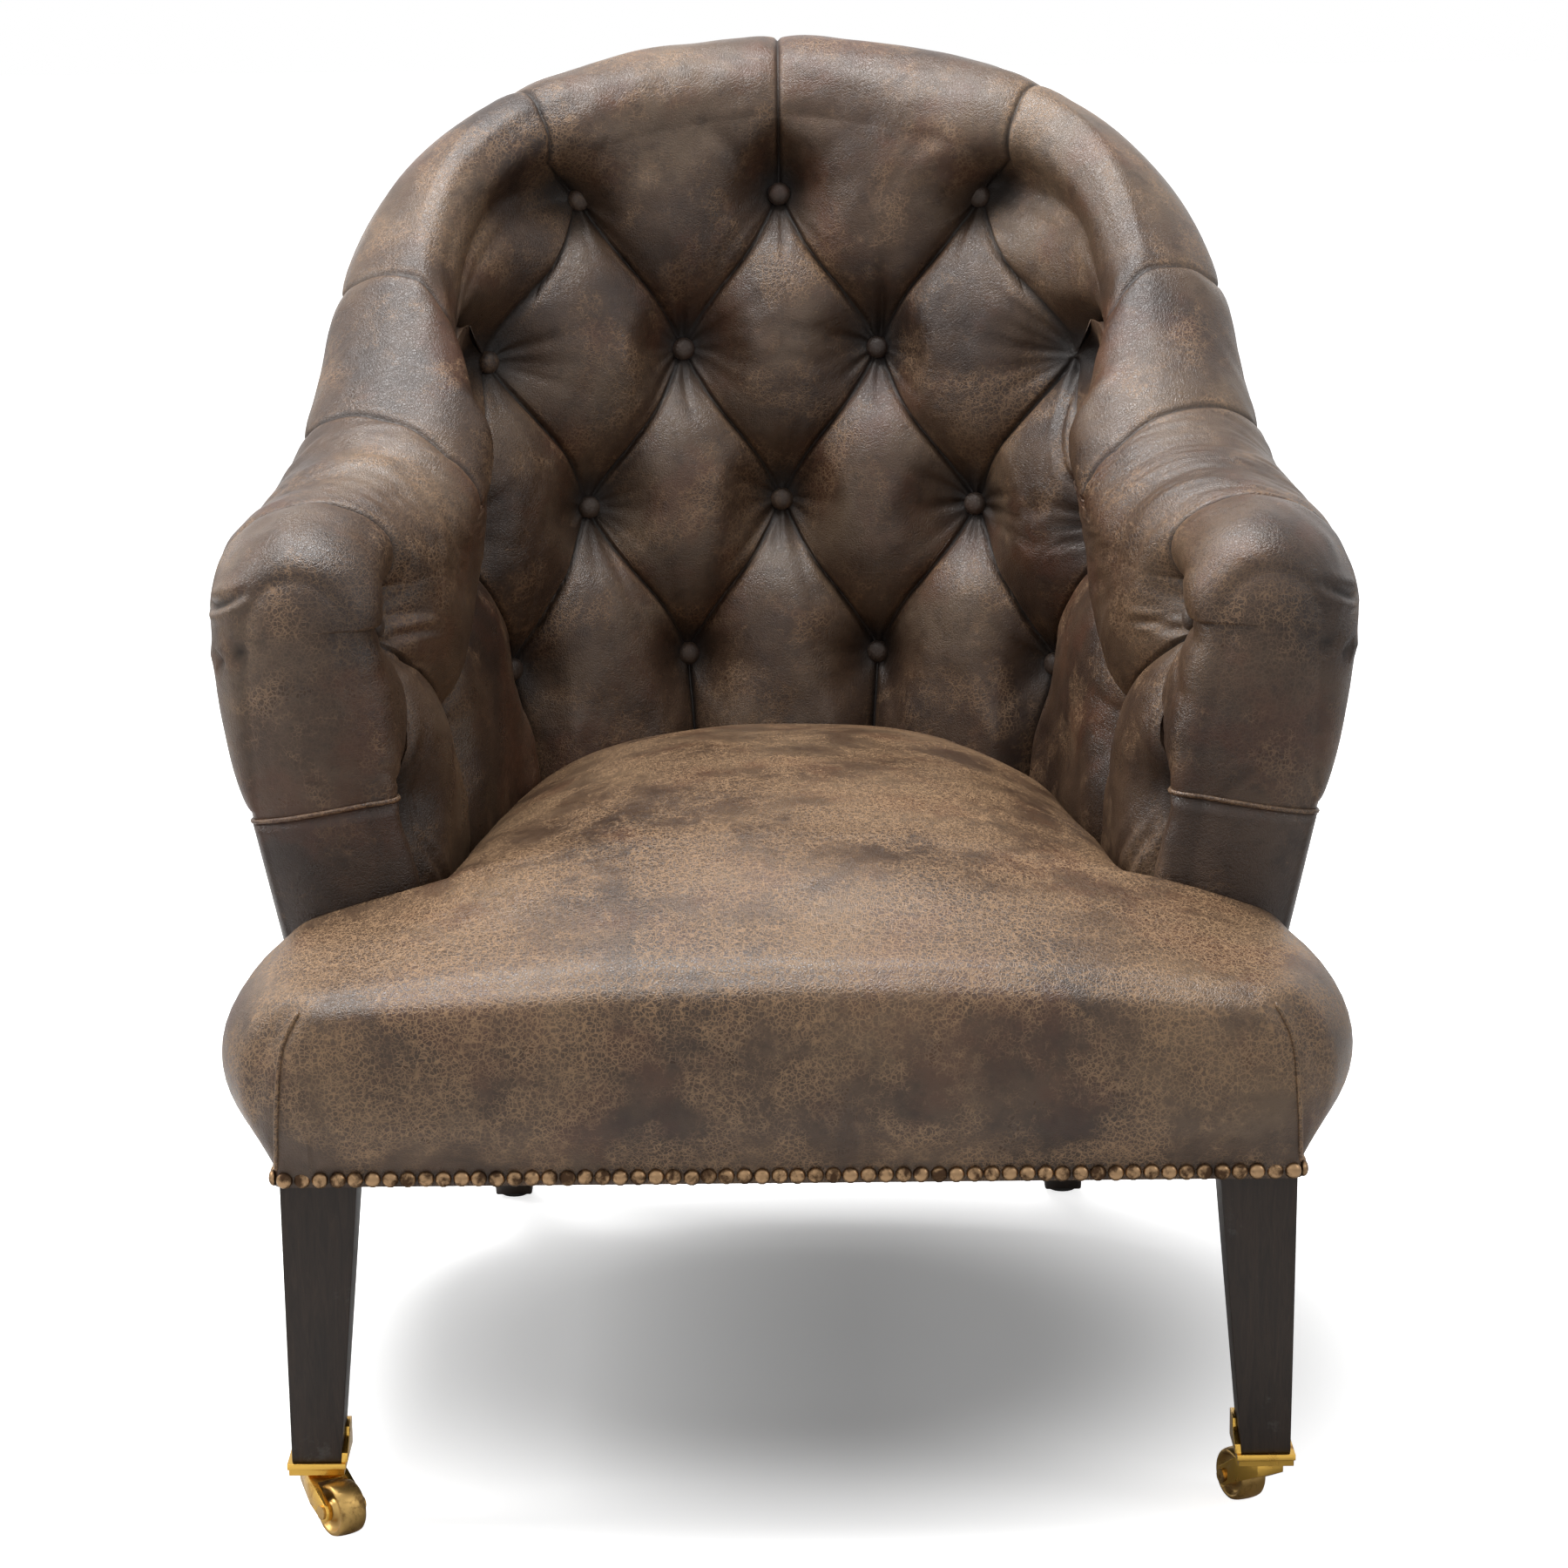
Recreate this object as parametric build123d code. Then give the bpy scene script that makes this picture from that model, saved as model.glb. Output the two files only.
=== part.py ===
from build123d import *
from math import atan2, cos, degrees, pi, radians, sin, sqrt
import os

# A deep-buttoned leather tub armchair on brass front castors.
# Lengths are in millimetres. While it is drawn, the seat front is at y = 0, the floor at z = 0,
# and the chair faces -Y. The pieces are moved to the middle of its depth when they are written.

# Seat frame
frame_half_width = 316
frame_depth = 655
frame_back_radius = 600
frame_back_turn = 18.9
rail_top = 300
rail_height = 70
rail_thickness = 28
rail_bottom = rail_top - rail_height
frame_front = 6
joint_gap = 0.3
overrun = 40

# Path of the buttons, seen from above: a wide arc, a tight arc and a straight run on each side
path_back = 620
back_radius = 340
back_turn = 32
corner_radius = 130
corner_turn = 54
arm_front_place = 610

# Height and reach of the roll along the path, as shares at even steps from the middle
chair_height = 894
roll_reach = 127
roll_half_width = 70
roll_height = 60
panel_reach = 95
share_step = 60
height_shares = [1, 0.994, 0.981, 0.959, 0.915, 0.846, 0.783, 0.733, 0.705, 0.692, 0.68]
reach_shares = [1, 0.945, 0.882, 0.803, 0.677, 0.606, 0.654, 0.74, 0.874, 0.93, 0.87]
half_width_shares = [0.786, 0.786, 0.786, 0.8, 0.829, 0.886, 0.943, 1, 1, 0.914, 0.843]
roll_height_shares = [0.917, 0.917, 0.917, 0.917, 0.917, 0.917, 0.933, 0.967, 1, 1, 1]
panel_shares = [1, 0.947, 0.884, 0.821, 0.758, 0.747, 0.779, 0.8, 0.8, 0.8, 0.8]
lean_shares = [1, 0.99, 0.98, 0.87, 0.66, 0.46, 0.28, 0.13, 0, 0, 0]
lean_level_share = 0.6264
lean_level = chair_height * lean_level_share
top_lean = 52.8
back_lean = top_lean / (chair_height - lean_level)
under_roll_share = 1.4
roll_turn_share = 1.5

# Diamond tufting
top_row_share = 0.8736
row_pitch_share = 0.1234
narrow_low_share = 0.593
narrow_high_share = 0.755
top_row_height = chair_height * top_row_share
row_pitch = chair_height * row_pitch_share
narrow_low = chair_height * narrow_low_share
narrow_high = chair_height * narrow_high_share
narrow_share = 0.08
narrow_column = 2
column_pitch = 73.5
arm_column_pitch = 130.5
first_arm_column = 4
front_column = 6
front_column_pitch = 15
arm_row_drop = 20
arm_drop_start = 330
puff_height = 35
groove_height = 14
fill_length = 60
puff_round_share = 0.7
seat_of_button = 8.5
pleat_depth = 4
pleat_columns = [0, 2, 3, 4, 6]
pad_tuck = 12
pad_back = 14
pad_bottom = 306
split_column = 3.5
last_column = 7
foot_parts = 4
puff_parts = 5
top_parts = 6
roll_parts = 7
edge_parts = 3
button_radius = 7.75
button_sides = 10
button_tier = 2
button_taper = 42
button_height = 6
button_clearance = 0.5

# Rounded front of each arm, as places behind its face and as shares of its rounding
arm_front_rounding = 26
front_steps = [20, 7, 0]
front_shares = [0.15, 0.46, 1]
hollow_end = 25
arm_facing_thickness = 4
arm_facing_top = 430
facing_margin = 3

# Posts, upper rails and outside panels
upper_rail_height = 45
upper_rail_thickness = 32
post_thickness = 28
post_columns = 0.5
arm_post_columns = 0.25
rail_end_column = 5
panel_thickness = 5

# Legs
front_leg_top = 48
front_leg_foot = 31
front_leg_foot_bottom = 45
front_leg_set_back = 7.5
front_leg_inset = 1
rear_leg_top = 42
rear_leg_foot = 28
rear_leg_x = 205
rear_leg_spread = 9
rear_leg_rake = 102
rear_leg_curve = 1.5
rear_leg_bottom = 3
rear_leg_parts = 8
glide_radius = 10

# Seat
seat_overhang = 39
seat_half_width = frame_half_width + seat_overhang
seat_depth = 600
seat_crown = 428
seat_place_shares = [-0.02, -0.01, 0.007, 0.033, 0.1, 0.183, 0.283, 0.5, 0.717, 0.883, 1]
seat_width_shares = [0.851, 0.89, 0.924, 0.963, 1, 0.992, 0.958, 0.958, 0.958, 0.958, 0.944]
seat_foot_shares = [0.834, 0.868, 0.896, 0.896, 0.896, 0.896, 0.896, 0.896, 0.896, 0.896, 0.896]
seat_foot_height_shares = [0.617, 0.584, 0.568, 0.568, 0.568, 0.568, 0.568, 0.568, 0.568, 0.568, 0.568]
seat_middle_shares = [0.682, 0.676, 0.673, 0.673, 0.673, 0.673, 0.68, 0.69, 0.69, 0.69, 0.69]
seat_shoulder_shares = [0.752, 0.79, 0.808, 0.818, 0.822, 0.832, 0.846, 0.869, 0.879, 0.865, 0.85]
seat_crown_shares = [0.771, 0.818, 0.843, 0.867, 0.9, 0.939, 0.97, 1, 0.991, 0.958, 0.916]
shoulder_share = 0.915
side_parts = 6
crown_parts = 12
band_height = 15
band_thickness = 2.5
band_half_width = frame_half_width + band_thickness
seat_clearance = 2.5
webbing_width = 50
webbing_thickness = 1.6
webbing_pitch = 75
webbing_inset = 8
cross_webbing_places = [120, 290, 370, 450]
foam_half_width = 170
foam_front = 40
foam_depth = 440
foam_thickness = 40
block_length = 60
block_height = 32
cover_thickness = 1
cover_inset = 14
cover_leg_gap = 2

# Nails
nail_radius = 4.75
nail_height = 3
nail_sides = 6
nail_taper = 40
nail_pitch = 10.95
front_nails = 58
side_nails = 15
nail_level = 5.5

# Castors
wheel_radius = 17.3
wheel_edge_drop = 1.4
wheel_width = 18
wheel_hub_width = 19
wheel_hub_radius = 6
dish_depth = 3.4
dish_inner = 7.5
dish_outer = 12
rim_radius = 14.2
trail = 27
castor_turns = [-55, 115.4]
axle_radius = 3
axle_gap = 0.1
axle_head_radius = 4.6
axle_head = 1.4
fork_gap = 20
fork_arm = 4
fork_end_radius = 6.5
horn_back = 9
horn_top = 36.7
horn_back_drop = 8.7
hub_plate = 6.5
wheel_slot_gap = 2.2
pivot_radius = 4
pivot_gap = 0.1
pivot_head_radius = 5.5
pivot_head = 3.2
pivot_depth = 20
disc_sides = 16
wheel_sides = 40
socket_plate = 4
socket_lip = 1
socket_step = 3
socket_wall = 2.5
socket_wall_height = 18
socket_wall_low = 6


def along(shares, place):
    # The share at a place on the path, on a smooth curve through those at the even steps.
    steps = min(abs(place) / share_step, len(shares) - 1.001)
    first = int(steps)
    rest = steps - first
    before, low, high, after = [shares[min(abs(i), len(shares) - 1)] for i in range(first - 1, first + 3)]
    slope, end_slope = (high - before) / 2, (after - low) / 2
    bend = 3 * (high - low) - 2 * slope - end_slope
    return low + rest * (slope + rest * (bend + rest * (2 * (low - high) + slope + end_slope)))


def station(place):
    # Upright plane across the path: x runs outwards from the buttons and y is the height.
    side = -1 if place < 0 else 1
    run = abs(place)
    first, second = radians(back_turn), radians(corner_turn)
    turn_1 = min(run / back_radius, first)
    turn_2 = min(max(run - back_radius * first, 0) / corner_radius, second)
    straight = max(run - back_radius * first - corner_radius * second, 0)
    turn = turn_1 + turn_2
    x = back_radius * sin(turn_1) + corner_radius * (sin(turn) - sin(turn_1)) + straight * cos(turn)
    y = path_back - back_radius * (1 - cos(turn_1)) - corner_radius * (cos(turn_1) - cos(turn))
    y -= straight * sin(turn)
    outward = (side * sin(turn), cos(turn), 0)
    onward = (cos(turn), -side * sin(turn), 0)
    return Plane(origin=(side * x, y, 0), x_dir=outward, z_dir=onward)


def ring(place, points):
    # Points given as offset and height, placed in the upright plane at a place on the path.
    plane = station(place)
    return [plane.origin + plane.x_dir * out + Vector(0, 0, height) for out, height in points]


def skin(rings, closed=False):
    # Solid of flat triangles between outlines that have equally many points, or a closed ring of them.
    faces = [] if closed else [Face(Wire.make_polygon(rings[0])), Face(Wire.make_polygon(rings[-1]))]
    for near, far in zip(rings, rings[1:]):
        for i in range(len(near)):
            faces.append(Face(Wire.make_polygon([near[i - 1], near[i], far[i]])))
            faces.append(Face(Wire.make_polygon([near[i - 1], far[i], far[i - 1]])))
    return Solid(Shell(faces))


def frame_corner():
    # Radius and centre of the arc that joins each side of the seat frame to its back.
    turn = radians(frame_back_turn)
    radius = (frame_half_width - frame_back_radius * sin(turn)) / (1 - sin(turn))
    centre_y = frame_depth - frame_back_radius * (1 - cos(turn)) - radius * cos(turn)
    return radius, centre_y


def outside_frame(x, y):
    # How far a point lies outside the outline of the seat frame.
    radius, centre_y = frame_corner()
    centre_x = frame_half_width - radius
    x = abs(x)
    if y < centre_y:
        return x - frame_half_width
    if degrees(atan2(x - centre_x, y - centre_y)) > frame_back_turn:
        return sqrt((x - centre_x) ** 2 + (y - centre_y) ** 2) - radius
    return sqrt(x**2 + (y - frame_depth + frame_back_radius) ** 2) - frame_back_radius


def reach(place):
    # Distance from the path out to the seat frame's outline, found by halving.
    plane = station(place)
    near, far = 0, frame_half_width
    for _ in range(30):
        middle = (near + far) / 2
        point = plane.origin + plane.x_dir * middle
        if outside_frame(point.X, point.Y) > 0:
            far = middle
        else:
            near = middle
    return near


def column_place(column):
    # Place of a column of buttons: even across the back, wider along the arms and close at their fronts.
    back = min(column, first_arm_column) * column_pitch
    arm = min(max(column - first_arm_column, 0), front_column - first_arm_column) * arm_column_pitch
    return back + arm + max(column - front_column, 0) * front_column_pitch


def narrowed(place, height):
    # Place of a point of the tufting, whose columns draw together towards the top of the back.
    rise = min(max((height - narrow_low) / (narrow_high - narrow_low), 0), 1)
    start, end = column_place(narrow_column), column_place(split_column)
    fade = min(max((end - abs(place)) / (end - start), 0), 1)
    return place * (1 - narrow_share * rise * fade)


def row_height(row, place):
    # Height of a row of buttons, which drops a little along the arms.
    drop_length = column_place(7) - arm_drop_start
    drop = arm_row_drop * min(max(abs(place) - arm_drop_start, 0) / drop_length, 1)
    return top_row_height - (row - 1) * row_pitch - drop


def button_line(place, height):
    # Offset of the plane that the buttons lie in, which leans outwards with height.
    return back_lean * along(lean_shares, place) * (height - lean_level)


class Roll:
    # The roll over the top edge at one place: its middle, half width, height and outer turn.
    def __init__(self, place, pleated=False, inset=0):
        cut = inset + (pleat_depth if pleated else 0)
        self.top = chair_height * along(height_shares, place) - cut
        self.half = roll_half_width * along(half_width_shares, place) - cut
        self.outer = roll_reach * along(reach_shares, place) - cut
        self.rise = roll_height * along(roll_height_shares, place) - cut
        self.middle = self.outer - self.half
        self.level = self.top - self.rise
        full_rise = self.rise + cut
        self.panel_top = self.level - under_roll_share * full_rise
        self.panel = panel_reach * along(panel_shares, place) - inset * front_shares[0]


def quarter(start, end, count):
    # Points from a crease up to where the padding stands upright, on a quarter of an ellipse.
    points = []
    for i in range(count):
        turn = radians(90) * i / count
        depth = start[0] + (end[0] - start[0]) * sin(turn)
        points.append((depth, end[1] + (start[1] - end[1]) * cos(turn)))
    return points


def swell(low, high, puff, count):
    # Points of a puff between two creases. Across a button it is flat.
    fill = min(max(high[1] - low[1] - seat_of_button * 2, 0) / fill_length, 1) ** 0.5
    points = []
    for i in range(count):
        share = i / count
        level = low[0] * (1 - share) + high[0] * share
        rise = max(puff * fill - (low[0] + high[0]) / 2, 0) * sin(pi * share) ** puff_round_share
        points.append((level + rise, low[1] * (1 - share) + high[1] * share))
    return points


def mix(first, second, share):
    # Point by point between two equally long lists.
    return [
        tuple(a * (1 - share) + b * share for a, b in zip(one, other))
        for one, other in zip(first, second)
    ]


def crease(row, column, place, inset):
    # Depth and height of the crease that zigzags between a row of buttons and the next.
    share = column % 1
    ends = []
    for whole in (int(column), int(column) + 1):
        if (row + whole) % 2 == 1:
            ends.append(row_height(row, place) - seat_of_button)
        else:
            ends.append(row_height(row + 1, place) + seat_of_button)
    return groove_height * sin(pi * share) - inset / 2, ends[0] * (1 - share) + ends[1] * share


def inner_profile(column, place, roll, inset):
    # Tufted inner face from the seat up to the roll, as depth in from the buttons and height.
    puff = puff_height - inset
    level = row_height(4, place)
    pleat = max(0, -cos(pi * column)) ** 2
    foot = (pad_tuck - inset, pad_bottom)
    low = (puff * (1 - pleat) - inset / 2 * pleat, level - seat_of_button * pleat)
    bands = 3 if column <= 3 else 2 if column <= 4 else 1
    creases = [crease(row, column, place, inset) for row in (3, 2, 1)][:bands]
    points = mix(quarter(foot, low, foot_parts), swell(foot, low, puff, foot_parts), pleat)
    downward = [(low[0], low[1])] + quarter(creases[0], low, foot_parts)[:0:-1]
    points += mix(downward, swell(low, creases[0], 0, foot_parts), pleat)
    for lower, upper in zip(creases, creases[1:]):
        points += swell(lower, upper, puff, puff_parts)
    crest = (button_line(place, roll.level) - roll.middle + roll.half, roll.level)
    last = creases[-1]
    count = top_parts + puff_parts * (3 - bands)
    free = quarter(last, crest, count)
    if bands == 2:
        return points + free
    top_row = row_height(1 if bands == 3 else 3, place)
    button_edge = (-inset / 2, min(top_row + seat_of_button, roll.level - seat_of_button))
    half = count // 2
    folded = swell(last, button_edge, 0, half) + quarter(button_edge, crest, count - half)
    return points + mix(free, folded, max(0, cos(pi * column)) ** 2)


def pad_outline(column, place, inset=0, hollow=True):
    # Outline of the padding at one place: tufted inner face, roll, outer edge and hollow behind.
    roll = Roll(place, column in pleat_columns and inset == 0, inset)
    profile = inner_profile(column, place, roll, inset)
    face = []
    for depth, height in profile:
        face += ring(narrowed(place, height), [(button_line(place, height) - depth, height)])
    for i in range(roll_parts):
        turn = pi * i / roll_parts
        moved = (narrowed(place, roll.level) - place) * cos(turn / 2) ** 2
        point = (roll.middle - roll.half * cos(turn), roll.level + roll.rise * sin(turn))
        face += ring(place + moved, [point])
    points = []
    for i in range(edge_parts):
        turn = radians(90) * i / edge_parts
        out = roll.panel + (roll.outer - roll.panel) * cos(turn) ** roll_turn_share
        points.append((out, roll.level - (roll.level - roll.panel_top) * sin(turn) ** roll_turn_share))
    points.append((roll.panel, roll.panel_top))
    points.append((roll.panel - panel_thickness - joint_gap * 2, roll.panel_top))
    if hollow:
        inner = button_line(place, roll.panel_top) + pad_back
        under_rail = roll.panel_top - joint_gap - upper_rail_height
        points.append((inner + joint_gap + upper_rail_thickness, roll.panel_top))
        points.append((inner, roll.panel_top))
        points.append((button_line(place, under_rail) + pad_back, under_rail))
        points.append((button_line(place, pad_bottom) + pad_back, pad_bottom))
    else:
        high, low = points[-1], (reach(place) - joint_gap, pad_bottom)
        for share in (0.25, 0.5, 0.75, 1):
            points.append(tuple(a * (1 - share) + b * share for a, b in zip(high, low)))
    return face + ring(place, points)


def columns(first, last):
    # Columns from first to last at even quarters.
    return [i / 4 for i in range(int(first * 4), int(last * 4) + 1)]


def signed_place(column):
    return column_place(abs(column)) * (-1 if column < 0 else 1)


def band(first, last, corners, gap=0):
    # Straight-sided band along the path between two columns. corners gives its points at a place.
    places = [signed_place(column) for column in columns(first, last)]
    places[0] += gap
    return skin([ring(place, corners(place)) for place in places])


def button_places():
    # Row, place and height of every button.
    places = []
    for row in (1, 2, 3, 4):
        for column in range(8):
            on_row = (row + column) % 2 == 1
            low_enough = row > 2 or column <= row + 1 and column < first_arm_column
            if on_row and low_enough:
                for side in (-1, 1) if column else (1,):
                    places.append((row, side * column_place(column)))
    return places


def button_plane(row, place):
    height = row_height(row, place)
    plane = station(narrowed(place, height))
    lean = back_lean * along(lean_shares, place)
    origin = plane.origin + plane.x_dir * button_line(place, height) + Vector(0, 0, height)
    inward = Vector(0, 0, 1) * lean - plane.x_dir
    return Plane(origin=origin, x_dir=plane.z_dir, z_dir=inward)


def upright(radius, height):
    return Cylinder(radius, height, align=(Align.CENTER, Align.CENTER, Align.MIN))


def block(x_low, x_high, y_low, y_high, z_low, z_high):
    # Box between two corners.
    size = (x_high - x_low, y_high - y_low, z_high - z_low)
    return Pos(x_low, y_low, z_low) * Box(*size, align=(Align.MIN, Align.MIN, Align.MIN))


def square(x, y, size, height):
    # Corners of a level square round a middle.
    half = size / 2
    return [Vector(x + i * half, y + j * half, height) for i, j in ((-1, -1), (1, -1), (1, 1), (-1, 1))]


def disc(radius, height):
    # Many-sided disc for faces that turn against nothing.
    return extrude(RegularPolygon(radius, disc_sides), amount=height)


def both_sides(name, solid):
    # The right-hand piece as drawn, and its mirror image on the left.
    return {name + "_left": mirror(solid, Plane.YZ), name + "_right": solid}


def tub():
    # Inside back and inside arms with their tufts, each button in its own well.
    back = skin([pad_outline(abs(c), signed_place(c)) for c in columns(-split_column, split_column)])
    outlines = [pad_outline(c, column_place(c)) for c in columns(split_column, last_column)]
    outlines.append(pad_outline(last_column, arm_front_place - hollow_end))
    for step, share in zip(front_steps, front_shares):
        place = arm_front_place - step
        column = last_column + (place - column_place(last_column)) / arm_column_pitch
        outlines.append(pad_outline(column, place, arm_front_rounding * share, False))
    arm = skin(outlines)
    wells = {"back": [], "arm": []}
    for row, place in button_places():
        outline = RegularPolygon(button_radius + button_clearance, button_sides)
        well = button_plane(row, place) * extrude(outline, amount=overrun)
        if abs(place) < column_place(split_column):
            wells["back"].append(well)
        elif place > 0:
            wells["arm"].append(well)
    back = back - wells["back"]
    arm = arm - wells["arm"]
    return {"inside_back_pad": back, **both_sides("inside_arm_pad", arm)}


def buttons():
    # Covered buttons, each a low dome of two bevelled tiers.
    lower = extrude(RegularPolygon(button_radius, button_sides), amount=button_tier)
    upper = Pos(0, 0, button_tier) * extrude(
        RegularPolygon(button_radius, button_sides), amount=button_height - button_tier, taper=button_taper
    )
    rows = {}
    for row, place in button_places():
        rows.setdefault(f"buttons_row_{row}", []).append(button_plane(row, place) * (lower + upper))
    return {name: Compound(children=solids) for name, solids in rows.items()}


def rail_corners(place):
    outer = reach(place)
    return [
        (outer - rail_thickness, rail_bottom),
        (outer, rail_bottom),
        (outer, rail_top),
        (outer - rail_thickness, rail_top),
    ]


def upper_rail_corners(place):
    roll = Roll(place)
    high = roll.panel_top - joint_gap
    low = high - upper_rail_height
    inner = [button_line(place, z) + pad_back + joint_gap for z in (low, high)]
    return [
        (inner[0], low),
        (inner[0] + upper_rail_thickness, low),
        (inner[1] + upper_rail_thickness, high),
        (inner[1], high),
    ]


def panel_corners(place):
    roll = Roll(place)
    low = reach(place) + joint_gap
    top = roll.panel_top - joint_gap
    bottom = rail_bottom + joint_gap
    return [
        (low, bottom),
        (low + panel_thickness, bottom),
        (low + panel_thickness, rail_top),
        (roll.panel, top),
        (roll.panel - panel_thickness, top),
        (low, rail_top),
    ]


def post_corners(place):
    low = reach(place)
    top = Roll(place).panel_top - upper_rail_height - joint_gap * 3
    inner = button_line(place, top) + pad_back + joint_gap
    return [
        (low - post_thickness, rail_top + joint_gap),
        (low - joint_gap, rail_top + joint_gap),
        (inner + post_thickness, top),
        (inner, top),
    ]


def seat_frame():
    # Beech rails, the posts above them and the blocks in the front corners.
    back_rail = band(-rail_end_column, rail_end_column, rail_corners)
    inner = frame_half_width - rail_thickness
    leg_side = frame_half_width - front_leg_top
    leg_back = frame_front + front_leg_top
    end = column_place(rail_end_column)
    side_end = ring(end, rail_corners(end))[0].Y
    front = block(-leg_side + joint_gap, leg_side - joint_gap, frame_front, frame_front + rail_thickness,
                  rail_bottom, rail_top)
    side = block(inner, frame_half_width, leg_back + joint_gap, side_end - joint_gap, rail_bottom, rail_top)
    rail_back = frame_front + rail_thickness + joint_gap
    leg_line = leg_back + joint_gap
    corner = Polygon(
        (leg_side - joint_gap - block_length, rail_back),
        (leg_side - joint_gap, rail_back),
        (leg_side - joint_gap, leg_line),
        (inner - joint_gap, leg_line),
        (inner - joint_gap, leg_line + block_length),
        align=None,
    )
    level = (rail_top + rail_bottom - block_height) / 2
    wedge = Pos(0, 0, level) * extrude(corner, amount=block_height)
    pieces = {"front_rail": front, **both_sides("side_rail", side), "back_rail": back_rail}
    pieces["corner_blocks"] = Compound(children=[wedge, mirror(wedge, Plane.YZ)])
    arm_post = band(front_column - arm_post_columns, last_column, post_corners)
    back_post = band(split_column - post_columns * 2, split_column - post_columns, post_corners)
    pieces.update(both_sides("arm_post", arm_post))
    pieces.update(both_sides("back_post", back_post))
    pieces["crest_rail"] = band(-split_column, split_column, upper_rail_corners)
    pieces.update(both_sides("arm_rail", band(split_column, last_column, upper_rail_corners, joint_gap)))
    return pieces


def outside_panels():
    # Leather panels outside the back and the arms, from the rails up to the roll.
    places = [column_place(column) for column in columns(split_column, last_column)]
    places[0] += joint_gap
    places += [arm_front_place - step for step in [hollow_end] + front_steps]
    arm = skin([ring(place, panel_corners(place)) for place in places])
    back = band(-split_column, split_column, panel_corners)
    return {"outside_back_panel": back, **both_sides("outside_arm_panel", arm)}


def arm_facing():
    # Flat leather panel on the lower front of an arm.
    roll = Roll(arm_front_place, False, arm_front_rounding)
    inner = button_line(arm_front_place, pad_bottom) - pad_tuck + arm_front_rounding + facing_margin
    low = reach(arm_front_place)
    outer = low + (roll.panel - low) * (arm_facing_top - pad_bottom) / (roll.panel_top - pad_bottom)
    corners = [(inner, pad_bottom), (low, pad_bottom), (outer, arm_facing_top), (inner, arm_facing_top)]
    face = Polygon(*corners, align=None)
    return station(arm_front_place + joint_gap) * extrude(face, amount=arm_facing_thickness)


def front_leg():
    # Square leg, straight behind the rails and tapered on its inner, rear and front faces below.
    outer = frame_half_width
    inner, back = outer - front_leg_top, frame_front + front_leg_top
    upper = block(inner, outer, frame_front, back, rail_bottom, rail_top)
    x, y = front_leg_centre()
    foot = square(x, y, front_leg_foot, front_leg_foot_bottom)
    top = square(outer - front_leg_top / 2, frame_front + front_leg_top / 2, front_leg_top, rail_bottom)
    return upper + skin([foot, top])


def front_leg_centre():
    y = frame_front + front_leg_set_back + front_leg_foot / 2
    return frame_half_width - front_leg_inset - front_leg_foot / 2, y


def rear_leg():
    # Sabre leg that sweeps back to its foot.
    top_y = frame_depth - (frame_back_radius - sqrt(frame_back_radius**2 - rear_leg_x**2))
    top_y -= rail_thickness / 2
    sections = []
    for i in range(rear_leg_parts + 1):
        t = i / rear_leg_parts
        size = rear_leg_top + t * (rear_leg_foot - rear_leg_top)
        height = rail_bottom - t * (rail_bottom - rear_leg_bottom)
        y = top_y + rear_leg_rake * t**rear_leg_curve
        sections.append(square(rear_leg_x + rear_leg_spread * t, y, size, height))
    foot = Pos(rear_leg_x + rear_leg_spread, top_y + rear_leg_rake, 0)
    return skin(sections), foot * disc(glide_radius, rear_leg_bottom)


def legs():
    rear, glide = rear_leg()
    hole_x, hole_y = front_leg_centre()
    hole = Pos(hole_x, hole_y, front_leg_foot_bottom - overrun)
    front = front_leg() - hole * upright(pivot_radius, overrun + pivot_depth)
    pieces = {**both_sides("front_leg", front), **both_sides("rear_leg", rear)}
    pieces["rear_glides"] = Compound(children=[glide, mirror(glide, Plane.YZ)])
    return pieces


def seat_outline(i):
    # Outline across the seat at one depth: flat foot, bulging side and a low crown.
    width = seat_half_width * seat_width_shares[i]
    foot = (seat_half_width * seat_foot_shares[i], seat_crown * seat_foot_height_shares[i])
    middle = (width, seat_crown * seat_middle_shares[i])
    shoulder = (width * shoulder_share, seat_crown * seat_shoulder_shares[i])
    crown = (0, seat_crown * seat_crown_shares[i])
    side = ThreePointArc(foot, middle, shoulder)
    top = ThreePointArc(shoulder, crown, (-shoulder[0], shoulder[1]))
    half = [side @ (j / side_parts) for j in range(side_parts)]
    half += [top @ (j / crown_parts) for j in range(crown_parts // 2)]
    points = [(point.X, point.Y) for point in half]
    points += [crown] + [(-x, height) for x, height in reversed(points)]
    depth = seat_depth * seat_place_shares[i]
    return [Vector(x, depth, height) for x, height in points]


def tub_envelope():
    # The space that the tub fills from its puffs outwards, with the seat's clearance.
    def corners(place):
        far = frame_half_width
        top = seat_crown + overrun
        inner = [button_line(place, z) - puff_height - seat_clearance for z in (0, top)]
        return [(inner[0], 0), (far, 0), (far, top), (inner[1], top)]

    places = [signed_place(column) for column in columns(-last_column, last_column)]
    end = arm_front_place + arm_facing_thickness + joint_gap * 2
    return skin([ring(place, corners(place)) for place in [-end] + places + [end]])


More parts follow.
